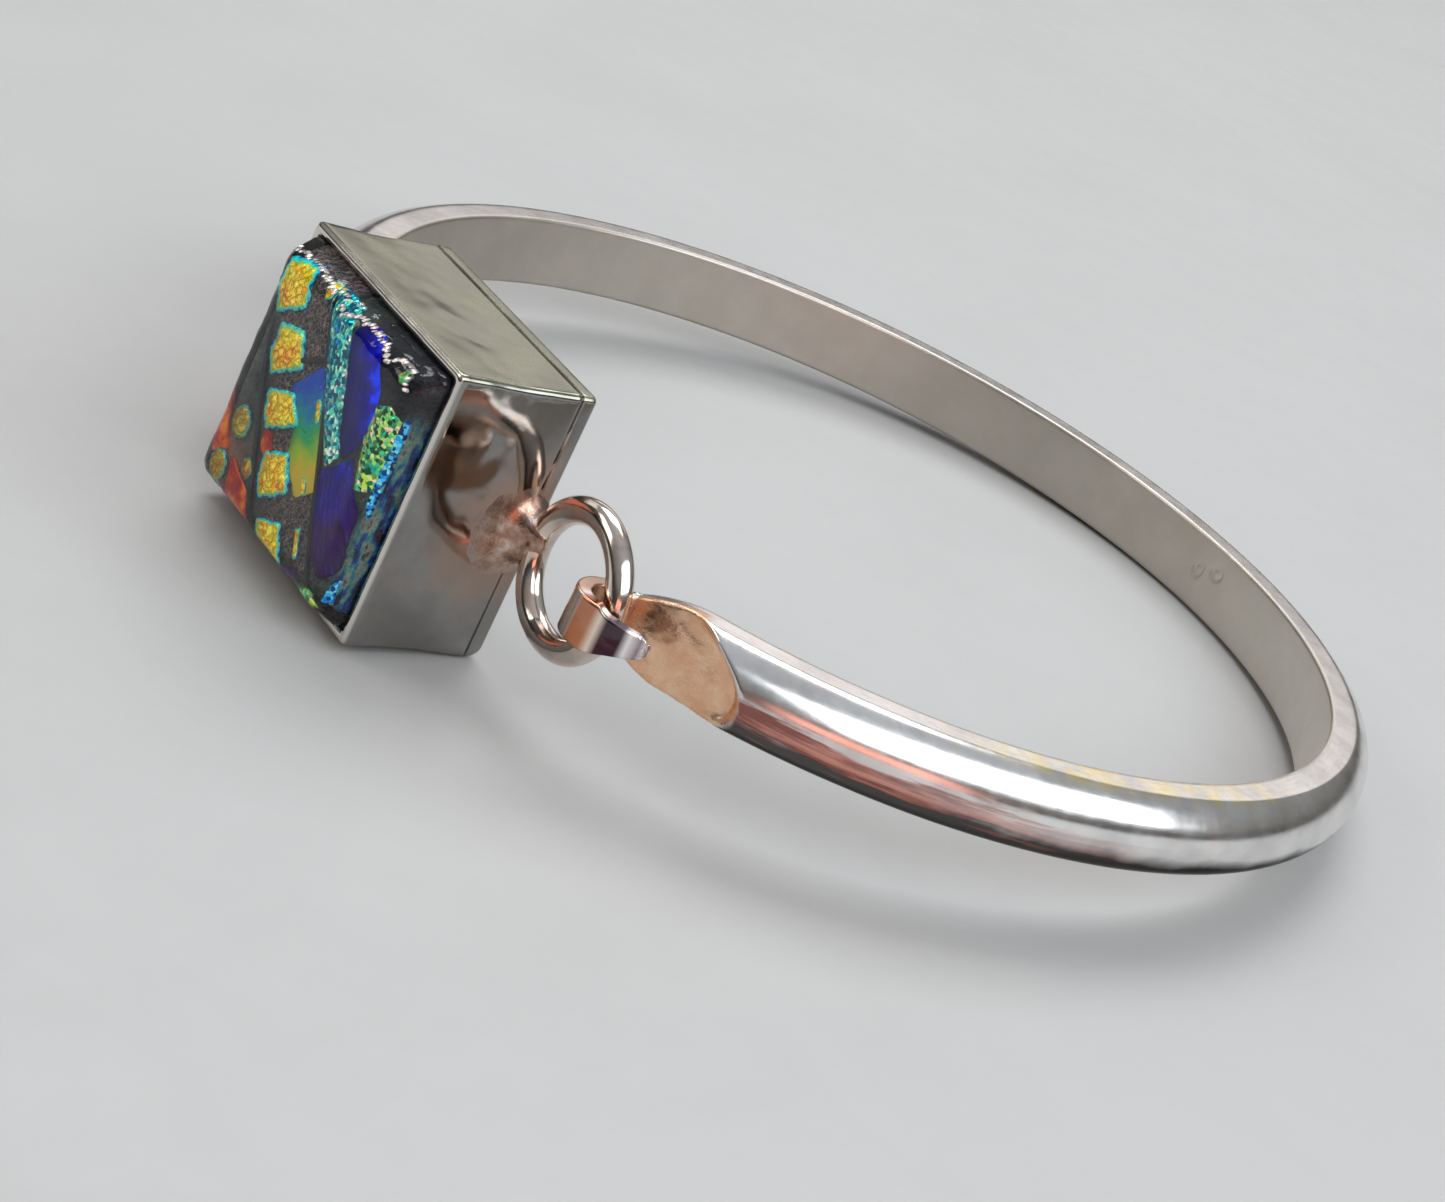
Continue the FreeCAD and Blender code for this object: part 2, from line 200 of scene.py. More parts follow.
def front_height(along, up, back):
    """Height of the outer face over the back, with the filed flat near the hook."""
    dome = dome_height(up)
    if along > PLAIN_FROM:
        return dome
    flat = FLAT_DISTANCE / math.cos(along / WRIST_RADIUS) - back
    beyond = past_shoulder(along, up)
    rise = smooth_step(-0.15, 0.42, beyond)
    scoop = -0.07 * np.exp(-((beyond + 0.8) / 0.6) ** 2)
    lip = 0.07 * np.exp(-((beyond - 0.22) / 0.16) ** 2) * smooth_step(2.2, 1.7, np.abs(up))
    return flat + scoop + lip + (dome - flat) * rise


def hook_stations(mouth):
    """Back, front, lower and upper edge of the strip from a hook's tip, round its bend, to the bar."""
    centre = FLAT_DISTANCE + BEND_RADIUS
    leg_inner = centre + BEND_RADIUS
    leg_outer = leg_inner + HOOK_THICKNESS
    tip_inner = FLAT_DISTANCE + mouth
    tip_outer = tip_inner + 0.6 * HOOK_THICKNESS
    inner_knots = ((0, leg_inner), (0.5, leg_inner - 0.16 * (leg_inner - tip_inner)), (1, tip_inner))
    outer_knots = ((0, leg_outer), (0.5, leg_outer - 0.2 * (leg_outer - tip_outer)), (1, tip_outer))
    stations = []
    for share in TIP_OVERSHOOT - np.linspace(0, 1, 26) ** 2 * TIP_OVERSHOOT:
        along = HOOK_SHIFT + share * (HOOK_REACH - HOOK_SHIFT)
        fade = math.sqrt(max(0.0, 1 - max(0.0, (along - TIP_START) / TIP_LENGTH) ** 2))
        upper = np.interp(along, [-0.3, 0.3, 1.2, 1.95], [1.15, 0.86, 0.78, 0.7]) * fade
        lower = -np.interp(along, [-0.3, 0.3, 1.0, 1.95], [1.45, 1.27, 1.0, 0.7]) * fade
        inner = through(inner_knots, share)
        outer = through(outer_knots, share)
        middle = (inner + outer) / 2
        thin = max(0.12, fade)
        back = (along + 0.1, middle + (outer - middle) * thin)
        front = (along - 0.05, middle + (inner - middle) * thin)
        stations.append((back, front, lower, upper))
    for degrees in np.linspace(96, 268, 34):
        angle = math.radians(degrees)
        reach = np.interp(degrees, [180, 270], [BEND_OUTER, FLAT_DISTANCE - STRIP_BACK + BEND_RADIUS])
        back, front = ((HOOK_SHIFT + radius * math.cos(angle), centre + radius * math.sin(angle))
                       for radius in (reach, BEND_RADIUS))
        stations.append((back, front, STRIP_LOW, STRIP_HIGH))
    for along in (-0.25, -0.12):
        stations.append(((along, STRIP_BACK), (along, FLAT_DISTANCE), STRIP_LOW, STRIP_HIGH))
    return stations


def strip_ring(back, front, lower, upper):
    """The ring of (along, out, up) points round the strip at a station."""
    back = np.array(back)
    front = np.array(front)
    height = np.hypot(*(front - back))
    outward = (front - back) / max(height, 1e-6)
    section = [(0, (upper + lower) / 2), (0, upper), (height, upper), (height, lower), (0, lower)]
    ring, spacing = resampled(section, RING_POINTS)
    ring = softened(ring, spacing, CORNER)
    return np.column_stack([back + ring[:, :1] * outward, ring[:, 1]])


def dents(along, up):
    """Depth of two small worn punch marks on the wrist face."""
    depth = 0.0
    for at, height, wide, tall in ((MARK_AT - 0.8, 0.75, 0.55, 0.42), (MARK_AT + 0.8, 0.15, 0.42, 0.5)):
        far = math.hypot((along - at) / wide, (up - height) / tall)
        depth += MARK_DEPTH * math.exp(-((far - 0.8) / 0.3) ** 2)
    return depth


def bar_ring(along):
    """The ring of (out, up) points at a distance along the wrist face from the catch's hook."""
    back = WRIST_RADIUS + 0.08 * (1 - smooth_step(0.0, 0.7, along))
    upper = lower = HALF_WIDTH
    if along <= TAPER_LENGTH:
        reach = max(along, 0.2)
        upper = min(HALF_WIDTH, through(((0.2, 1.23), (1.4, 1.78), (TAPER_LENGTH, HALF_WIDTH)), reach))
        lower = min(HALF_WIDTH, through(((0.2, 1.53), (1.4, 2.05), (TAPER_LENGTH, HALF_WIDTH)), reach))
    ups = np.linspace(upper, -lower, 44)
    fronts = front_height(along, ups, back)
    rear = [(dents(along, up), up) for up in np.linspace(-lower, upper, 40)]
    middle = len(rear) // 2
    sides = [(share * fronts[0], upper) for share in np.linspace(0.1, 0.95, 8)]
    other = [(share * fronts[-1], -lower) for share in np.linspace(0.95, 0.1, 8)]
    section = rear[middle:] + sides + list(zip(fronts, ups)) + other + rear[:middle]
    ring, spacing = resampled(section, RING_POINTS)
    ring = softened(ring, spacing, CORNER)
    return np.column_stack([back + ring[:, 0], ring[:, 1]])


def flat_mask(along, ring):
    """1 on the filed flat's face, falling away over its shoulder."""
    near = 1 - smooth_step(0.0, 0.4, past_shoulder(along, ring[:, 1]))
    outside = smooth_step(WRIST_RADIUS + 0.45, WRIST_RADIUS + 0.9, ring[:, 0])
    return near * outside


def place_strip(ring, side):
    """Turn (along, out, up) points at a hook into the bangle's frame."""
    outward = np.array([side * math.sin(HOOK_ANGLE), -math.cos(HOOK_ANGLE)])
    forward = np.array([side * math.cos(HOOK_ANGLE), math.sin(HOOK_ANGLE)])
    return np.column_stack([ring[:, :1] * forward + ring[:, 1:2] * outward, ring[:, 2]])


def place_bar(ring, angle):
    """Turn (out, up) points at an angle from the front into the bangle's frame."""
    outward = np.array([math.sin(angle), -math.cos(angle)])
    return np.column_stack([ring[:, :1] * outward, ring[:, 1]])


def shaped_end(side, mouth):
    """Rows from a hook's tip to the plain bar, with the share of flat and of hook in each."""
    rows = [place_strip(strip_ring(*station), side) for station in hook_stations(mouth)]
    flats = [np.zeros(RING_POINTS)] * len(rows)
    hooks = list(np.linspace(0.02, 1.0, len(rows)))
    for step, along in enumerate(np.arange(0.0, SHAPED_LENGTH, FINE_STEP)):
        ring = bar_ring(along)
        rows.append(place_bar(ring, side * (HOOK_ANGLE + along / WRIST_RADIUS)))
        flats.append(flat_mask(along, ring))
        hooks.append(max(0.0, 0.02 * (4 - step) / 4))
    return rows, flats, hooks


def make_band():
    """The whole bar in one skin, from the catch's hook round to the hinge's."""
    length = 2 * (math.pi - HOOK_ANGLE) * WRIST_RADIUS
    rows, flats, hooks = shaped_end(1, CATCH_MOUTH)
    fine = np.arange(MARK_AT - MARK_SPAN, MARK_AT + MARK_SPAN, FINE_STEP)
    plain = [along for along in np.arange(SHAPED_LENGTH, length - SHAPED_LENGTH, PLAIN_STEP)
             if not fine[0] <= along <= fine[-1]]
    for along in sorted(list(fine) + plain):
        rows.append(place_bar(bar_ring(along), HOOK_ANGLE + along / WRIST_RADIUS))
        flats.append(np.zeros(RING_POINTS))
        hooks.append(0.0)
    end_rows, end_flats, end_hooks = shaped_end(-1, HINGE_MOUTH)
    points, faces = loft(rows + end_rows[::-1])
    flats = np.concatenate(flats + end_flats[::-1] + [[0.0, 0.0]])
    hooks = np.concatenate([np.repeat(hooks + end_hooks[::-1], RING_POINTS), [0.02, 0.02]])
    return make_piece("band_forged", forge(points, flats), faces, "bangle",
                      ["band"], {"flat": flats, "hook": hooks})


def forge(points, flats):
    """Give the bar the slight unevenness of handwork, more of it on the flats."""
    radius = np.hypot(points[:, 0], points[:, 1])
    outward = points[:, :2] / radius[:, None]
    plain = 0.018 * ripple(points, 0.22, 1) * (radius > WRIST_RADIUS + 0.3)
    hammered = flats * (0.035 * ripple(points, 1.3, 2) + 0.012 * ripple(points, 4.5, 3) - 0.03)
    points[:, :2] += outward * (plain + hammered - 0.02)[:, None]
    return points


# ---------------------------------------------------------------- the bezel
OUTER_CORNER = 0.34
INNER_CORNER = 0.2
PLATE_WEAR = 0.22
RING_TURNS = 120
WIRE_TURNS = 32


def rounded_outline(wide, top, bottom, corner, per_side=36, per_corner=7):
    """(x, z) points of a rectangle with rounded corners, anticlockwise from bottom left."""
    points = []
    corner = max(corner, 0.02)
    corners = ((wide, -bottom, -90), (wide, top, 0), (-wide, top, 90), (-wide, -bottom, 180))
    for x, z, first in corners:
        middle = (x - math.copysign(corner, x), z - math.copysign(corner, z))
        for step in range(per_corner):
            angle = math.radians(first + 90 * step / (per_corner - 1))
            points.append((middle[0] + corner * math.cos(angle), middle[1] + corner * math.sin(angle)))
    full = []
    for number in range(4):
        arc = points[number * per_corner:(number + 1) * per_corner]
        following = points[(number + 1) % 4 * per_corner]
        full += arc
        for share in np.linspace(0, 1, per_side + 2)[1:-1]:
            full.append(tuple(np.array(arc[-1]) * (1 - share) + np.array(following) * share))
    return np.array(full)


def outline_row(y, wide, top, bottom, corner):
    """A rounded rectangle at a depth, as points in the bangle's frame."""
    flat = rounded_outline(wide, top, bottom, corner)
    return np.column_stack([flat[:, 0], np.full(len(flat), y), flat[:, 1]])


def make_wall():
    """The collar, its rim burnished round and its sides a little uneven."""
    profile = [(y, 0.0) for y in np.linspace(WALL_REAR, WALL_FRONT + 0.3, 26)]
    profile += [(WALL_FRONT + 0.14, 0.03), (WALL_FRONT + 0.04, 0.12), (WALL_FRONT, 0.26),
                (WALL_FRONT + 0.01, 0.42), (WALL_FRONT + 0.1, 0.54)]
    profile += [(y, WALL_THICKNESS) for y in np.linspace(WALL_FRONT + 0.3, WALL_REAR, 12)]
    rows = []
    for y, inset in profile:
        corner = OUTER_CORNER if inset < WALL_THICKNESS / 2 else INNER_CORNER
        rows.append(outline_row(y, WALL_WIDE - inset, WALL_TALL - inset, WALL_TALL - inset, corner))
    points, faces = loft(rows, close_rows=True)
    share = (points[:, 1] - WALL_REAR) / (WALL_FRONT - WALL_REAR)
    belly = np.sin(np.clip(share, 0, 1) * math.pi)
    uneven = 0.05 * ripple(points, 0.28, 4) + 0.03 * ripple(points, 0.8, 5)
    side_on = np.abs(points[:, 0]) > WALL_WIDE - WALL_THICKNESS - 0.1
    level_on = np.abs(points[:, 2]) > WALL_TALL - WALL_THICKNESS - 0.1
    sink = np.clip(0.05 + 0.05 * belly - uneven, 0, 0.14) * (0.1 + 0.9 * belly)
    points[:, 0] -= np.sign(points[:, 0]) * sink * side_on
    points[:, 2] -= np.sign(points[:, 2]) * sink * level_on
    rim = share > 0.97
    points[:, 1] += rim * (0.03 + 0.03 * ripple(points, 1.1, 6))
    return make_piece("bezel_wall_sheet", points, faces, "bezel", ["bezel_wall"])


def make_plate():
    """The back plate, worn round along its lower rear edge."""
    wide = WALL_WIDE + PLATE_LIP
    tall = WALL_TALL + PLATE_LIP
    depth = PLATE_REAR - WALL_REAR
    rows = [outline_row(WALL_REAR + 0.005, wide * share, tall * share, tall * share, INNER_CORNER * share)
            for share in (0.02, 0.25, 0.5, 0.8)]
    for y, inset in ((0.0, 0.025), (0.02, 0.005), (0.1, 0.0), (0.25, 0.0), (0.45, 0.0), (0.6, 0.0),
                     (0.7, 0.01), (0.8, 0.05), (0.86, 0.12), (depth, PLATE_WEAR)):
        into = max(0.0, PLATE_ROUNDING - (depth - y))
        lift = PLATE_ROUNDING - math.sqrt(max(0.0, PLATE_ROUNDING ** 2 - into ** 2))
        bottom = tall - max(inset, lift)
        rows.append(outline_row(WALL_REAR + y, wide - inset, tall - inset, bottom, OUTER_CORNER))
    for share in (0.85, 0.6, 0.35, 0.1, 0.02):
        rows.append(outline_row(PLATE_REAR, (wide - PLATE_WEAR) * share, (tall - PLATE_WEAR) * share,
                                (tall - PLATE_ROUNDING) * share, 0.3 * share))
    points, faces = loft(rows)
    points[:, 1] -= 0.03 * (1 + ripple(points, 0.35, 7)) * (points[:, 1] > PLATE_REAR - 0.02)
    return make_piece("bezel_back_plate", points, faces, "bezel", ["bezel_back"])


def make_wire_ring(name, side):
    """A soldered jump ring of round wire, not quite true."""
    rows = []
    for turn in full_turn(RING_TURNS):
        wobble = 0.02 * math.sin(2 * turn + side) + 0.012 * math.sin(5 * turn)
        seam = 0.03 * math.exp(-((turn - 4.4) / 0.09) ** 2)
        wire = WIRE_RADIUS * (0.975 + 0.012 * math.sin(3 * turn + 1) - seam)
        row = []
        for spin in full_turn(WIRE_TURNS):
            out = RING_RADIUS + wobble + wire * math.cos(spin)
            row.append((side * (RING_CENTRE[0] + out * math.cos(turn)),
                        RING_CENTRE[1] + 0.97 * wire * math.sin(spin),
                        out * math.sin(turn)))
        rows.append(row if side > 0 else row[::-1])
    points, faces = loft(rows, close_rows=True)
    return make_piece(name + "_wire", points, faces, "bezel", [name])


SOLDER_MIDDLE = (-29.75, -0.1)
SOLDER_REACH = (2.5, 3.0)
SOLDER_SHARES = (0.0, 0.06, 0.14, 0.22, 0.3, 0.38, 0.46, 0.54, 0.62, 0.7, 0.78, 0.85, 0.91, 0.96, 1.0)
SOLDER_ROOT = 0.3


def make_solder_lump(name, side, seed):
    """Solder that wets the wall in a ragged film and climbs onto the wire in lumps."""
    rows = []
    edges = []
    for share in SOLDER_SHARES:
        row = []
        for angle in full_turn(96):
            spoke = Vector((math.cos(angle), math.sin(angle), seed))
            ragged = 0.3 * noise.noise(spoke * 1.3) + 0.12 * noise.noise(spoke * 3.0)
            y = SOLDER_MIDDLE[0] + share * SOLDER_REACH[0] * (1 + ragged) * math.cos(angle)
            z = SOLDER_MIDDLE[1] + share * SOLDER_REACH[1] * (1 + ragged) * math.sin(angle)
            rear = PLATE_REAR - 0.03
            over = max(0.0, y - rear)
            y = min(y, rear)
            spot = Vector((y, z, seed * 3.0))
            lumps = 0.2 * noise.noise(spot * 0.8) + 0.1 * noise.noise(spot * 1.9)
            mound = 1.7 * math.exp(-((y + 29.05) / 0.95) ** 2 - (z / 1.5) ** 4)
            skirt = 0.26 * (1 - share * share) ** 2
            film = 0.035 - 0.15 * share ** 3
            height = (mound * (1 - share ** 4) + skirt) * (1 + lumps) + film
            sunk = height - 0.9 * over if share < 1 else -SOLDER_ROOT
            x = WALL_WIDE + max(-SOLDER_ROOT, sunk)
            row.append((side * x, y, z))
        rows.append(row if side > 0 else row[::-1])
        edges += [share] * len(row)
    points, faces = loft(rows)
    return make_piece(name + "_fillet", points, faces, "bezel", [name],
                      {"edge": edges + [0.0, 1.0]})


# ---------------------------------------------------------------- the glass
EDGE_MARGIN = 0.42


def dome_rise(edge):
    """How far the face stands out at a distance in from the edge."""
    return DOME_RISE * (1 - np.exp(-(edge / EDGE_MARGIN) ** 1.3))


def edge_distance(x, z):
    """How far a point seen from the front lies in from the glass's nearest edge."""
    return np.minimum(GLASS_WIDE - np.abs(x), GLASS_TALL - np.abs(z))


def cap_depth(x, z):
    """y of the glass's front face at a point seen from the front."""
    return DOME_FOOT - dome_rise(np.maximum(edge_distance(x, z), 0.0))


def domed_rows(inset, shift, rear):
    """Rows from the rear of a glass block over its domed face to its middle."""
    rows = []
    wide = GLASS_WIDE - inset
    tall = GLASS_TALL - inset
    front = DOME_FOOT + shift
    for share in (0.02, 0.4, 0.8):
        rows.append(outline_row(rear, wide * share, tall * share, tall * share, 0.4 * share))
    for y in np.linspace(rear, front, 8):
        rows.append(outline_row(y, wide, tall, tall, 0.5))
    edges = list(np.linspace(0.04, 0.6, 12)) + list(np.linspace(0.75, tall - 0.06, 34))
    for edge in edges:
        corner = max(0.06, 0.5 + 0.5 * edge * math.exp(-edge))
        rows.append(outline_row(front - dome_rise(edge), wide - edge, tall - edge, tall - edge,
                                min(corner, tall - edge)))
    return rows


def make_cap():
    """The clear casing: poured smooth on top, chipped and toothed along its upper edge."""
    points, faces = loft(domed_rows(0.0, 0.0, GLASS_REAR))
    out = smooth_step(DOME_FOOT + 0.1, DOME_FOOT - 0.7, points[:, 1])
    swell = 0.07 * ripple(points, 0.3, 8) + 0.03 * ripple(points, 0.9, 9)
    near_edge = np.exp(-((edge_distance(points[:, 0], points[:, 2]) - 0.55) / 0.4) ** 2)
    teeth = np.maximum(0, ripple(points, 2.1, 10)) * (0.3 + 0.7 * smooth_step(2, 6.5, points[:, 2]))
    points[:, 1] += out * (0.1 + swell + 0.32 * near_edge * teeth)
    chips = 0.2 * near_edge * np.maximum(0, ripple(points, 1.2, 11))
    points[:, 0] -= np.sign(points[:, 0]) * chips * (np.abs(points[:, 0]) > GLASS_WIDE - 1.2)
    points[:, 2] -= np.sign(points[:, 2]) * chips * (np.abs(points[:, 2]) > GLASS_TALL - 1.2)
    return make_piece("glass_cap_casting", points, faces, "bezel", ["glass_cap"])


def make_core():
    """The dark fused block under the casing, which carries the coloured pieces."""
    points, faces = loft(domed_rows(0.5, 0.75, -31.2))
    points[:, 1] += 0.08 * ripple(points, 0.7, 12) * (points[:, 1] < DOME_FOOT)
    return make_piece("glass_core", points, faces, "bezel", ["glass_base"])


PATCH_POINTS = 84
PATCH_SHARES = (0.05, 0.2, 0.36, 0.52, 0.66, 0.78, 0.87, 0.94, 0.985, 1.0)
PATCH_THICKNESS = 0.12


def glass_patches(name, outlines, depth, swell, ragged, seed, stands_for=(), grow=1.0):
    """Puffed pieces of sheet glass that follow the dome at a depth under its face."""
    all_points = []
    all_faces = []
    edges = []
    for number, outline in enumerate(outlines):
        ring, spacing = resampled(outline, PATCH_POINTS)
        ring = softened(ring, spacing, 0.09)
        spots = np.column_stack([ring, np.full(len(ring), seed + number)])
        shifts = ripple(spots, 2.3, seed) + 0.6 * ripple(spots, 6.5, seed + 1)
        centre = ring.mean(0)
        ring = centre + (ring - centre) * grow
        outward = ring - centre
        outward = outward / np.maximum(np.hypot(*outward.T), 1e-6)[:, None]
        ring = ring + outward * (ragged * shifts)[:, None]
        rows = []
        for share in PATCH_SHARES:
            flat = centre + (ring - centre) * share
            x = np.clip(flat[:, 0], EDGE_MARGIN - GLASS_WIDE, GLASS_WIDE - EDGE_MARGIN)
            z = np.clip(flat[:, 1], EDGE_MARGIN - GLASS_TALL, GLASS_TALL - EDGE_MARGIN)
            lift = swell * (1 - share ** 5)
            spots = np.column_stack([x, z, np.zeros(len(x))])
            lift = lift * (1 + 0.25 * ripple(spots, 2.2, seed + 2))
            rows.append(np.column_stack([x, cap_depth(x, z) + depth - lift, z]))
            edges += [share] * len(x)
        back = rows[-1].copy()
        back[:, 1] += PATCH_THICKNESS
        rows.append(back)
        edges += [1.0] * len(back)
        points, faces = loft(rows)
        edges += [0.0, 1.0]
        start = len(all_points)
        all_points += list(points)
        all_faces += [tuple(corner + start for corner in face) for face in faces]
    return make_piece(name, all_points, all_faces, "bezel", stands_for, {"edge": edges})


def slanted(centre, wide, tall, lean=29.0):
    """A four-cornered chip that leans with the stripes."""
    angle = math.radians(lean)
    corners = []
    for across, along in ((-1, -1), (1, -1), (1, 1), (-1, 1)):
        x = across * wide / 2
        z = along * tall / 2
        corners.append((centre[0] + x * math.cos(angle) - z * math.sin(angle),
                        centre[1] + x * math.sin(angle) + z * math.cos(angle)))
    return corners


def blob(centre, radius):
    """A round dot, a little taller than wide."""
    return [(centre[0] + radius * math.cos(turn), centre[1] + radius * 1.05 * math.sin(turn))
            for turn in full_turn(14)]


def frost_outlines():
    """Ragged grains strung along the casing's upper edge."""
    outlines = []
    distance = np.concatenate([[0], np.cumsum(np.hypot(*np.diff(FROST_PATH, axis=0).T))])
    for number, at in enumerate(np.arange(0.1, distance[-1], 0.27)):
        x = np.interp(at, distance, [point[0] for point in FROST_PATH])
        z = np.interp(at, distance, [point[1] for point in FROST_PATH])
        shake = noise.noise(Vector((number * 1.7, 3.0, 5.0)))
        size = 0.13 + 0.09 * noise.noise(Vector((number * 2.3, 9.0, 1.0)))
        outlines.append(slanted((x, z + 0.25 * shake), size * 1.9, size * 1.5, 90 * shake))
    return outlines


TILES = [
    [(-6.5, 6.1), (-4.5, 6.7), (-3.7, 4.9), (-5.9, 3.5), (-6.6, 4.6)],
    [(-5.0, 3.1), (-3.0, 3.7), (-1.9, 2.3), (-4.2, 0.7), (-5.0, 1.6)],
    [(-3.7, -0.1), (-1.6, 0.8), (-0.4, -0.3), (-2.7, -1.7), (-3.4, -1.0)],
    [(-1.8, -2.8), (-0.1, -1.9), (1.1, -3.4), (-1.0, -4.9), (-1.7, -4.1)],
    [(-0.3, -5.9), (1.7, -5.0), (2.8, -6.7), (1.0, -7.0), (0.2, -6.7)],
]
CHIPS = [
    slanted((-2.5, 6.5), 0.6, 1.1), slanted((0.85, 1.3), 0.45, 1.2), slanted((2.3, -2.4), 0.4, 0.9),
    slanted((3.6, -4.9), 0.42, 1.6), slanted((-2.1, 7.0), 0.5, 0.5),
]
DOTS = [blob((-5.0, -2.8), 0.92), blob((-5.5, -5.7), 0.85), blob((-2.9, -4.4), 0.6)]
STRIPE = [
    (-2.2, 7.1), (-0.2, 7.1), (1.8, 4.4), (4.0, 0.5), (3.1, -0.6), (1.7, 1.1), (0.2, 3.1), (-0.6, 4.6),
    (-2.0, 6.2),
]
LEAF = [
    (1.0, 6.2), (1.9, 6.8), (3.0, 6.7), (4.9, 4.9), (5.4, 3.4), (5.2, 1.9), (4.3, 0.5), (3.4, 1.2),
    (2.2, 3.5), (1.2, 5.2),
]
GREEN = [
    (-2.2, 1.0), (-0.3, 3.3), (0.2, 3.0), (3.4, -1.9), (1.9, -3.3), (0.8, -2.6), (-0.2, -1.9), (-0.6, -0.2),
]
VIOLET = [
    [(3.0, -0.9), (4.3, 0.3), (5.1, 1.2), (6.0, -0.3), (6.7, -1.0), (7.0, -4.4), (6.2, -5.4),
     (4.9, -4.4), (3.7, -2.8)],
    [(2.9, -6.5), (4.3, -5.9), (4.8, -6.8), (3.2, -7.0)],
]
SPARKLE = [
    [(5.2, 4.2), (6.1, 4.7), (7.2, 4.2), (7.2, 2.2), (6.9, 0.2), (6.1, -0.1), (5.6, 1.5), (5.2, 2.6)],
    blob((6.0, 6.3), 0.34),
    [(5.0, -6.3), (6.2, -6.1), (6.8, -6.7), (5.2, -6.9)],
]
STREAKS = [
    [(7.0, 4.6), (7.25, 4.4), (7.2, -1.2), (7.0, -0.4)],
    [(7.0, -5.2), (7.25, -4.6), (7.25, -6.2), (6.9, -6.2)],
]
LINES = [
    slanted((-3.3, -2.6), 0.3, 8.6), slanted((2.9, -1.2), 0.26, 6.4, 30.0),
    slanted((4.4, -3.9), 0.22, 4.2, 28.0), slanted((-0.9, 4.9), 0.2, 3.6),
    [(-4.6, 0.9), (-0.4, 3.4), (-0.5, 3.7), (-4.9, 1.2)],
]
FROST_PATH = (
    (-7.0, 6.75), (-5.4, 6.85), (-3.6, 6.8), (-2.6, 6.6), (-1.4, 6.9), (-0.4, 6.2), (0.6, 6.75), (2.2, 6.8),
    (3.6, 6.75), (4.4, 6.3), (5.2, 6.85), (6.2, 6.9), (6.8, 5.9),
)
EMBERS = [
    [(-7.2, -1.6), (-6.5, -2.4), (-6.0, -3.8), (-5.2, -4.6), (-6.6, -5.5), (-7.2, -4.6)],
    [(-4.6, -4.6), (-2.2, -5.4), (-1.3, -6.6), (-4.2, -6.8)],
    [(-2.9, -1.8), (-2.0, -1.8), (-1.4, -2.7), (-1.9, -3.3), (-2.7, -2.8)],
]


# ---------------------------------------------------------------- materials
def fill_ramp(band, stops):
    """Put colours at their places along a colour ramp."""
    while len(band.elements) < len(stops):
        band.elements.new(0.5)
    for element, (at, colour) in zip(band.elements, stops):
        element.position = at
        element.color = (*colour, 1)


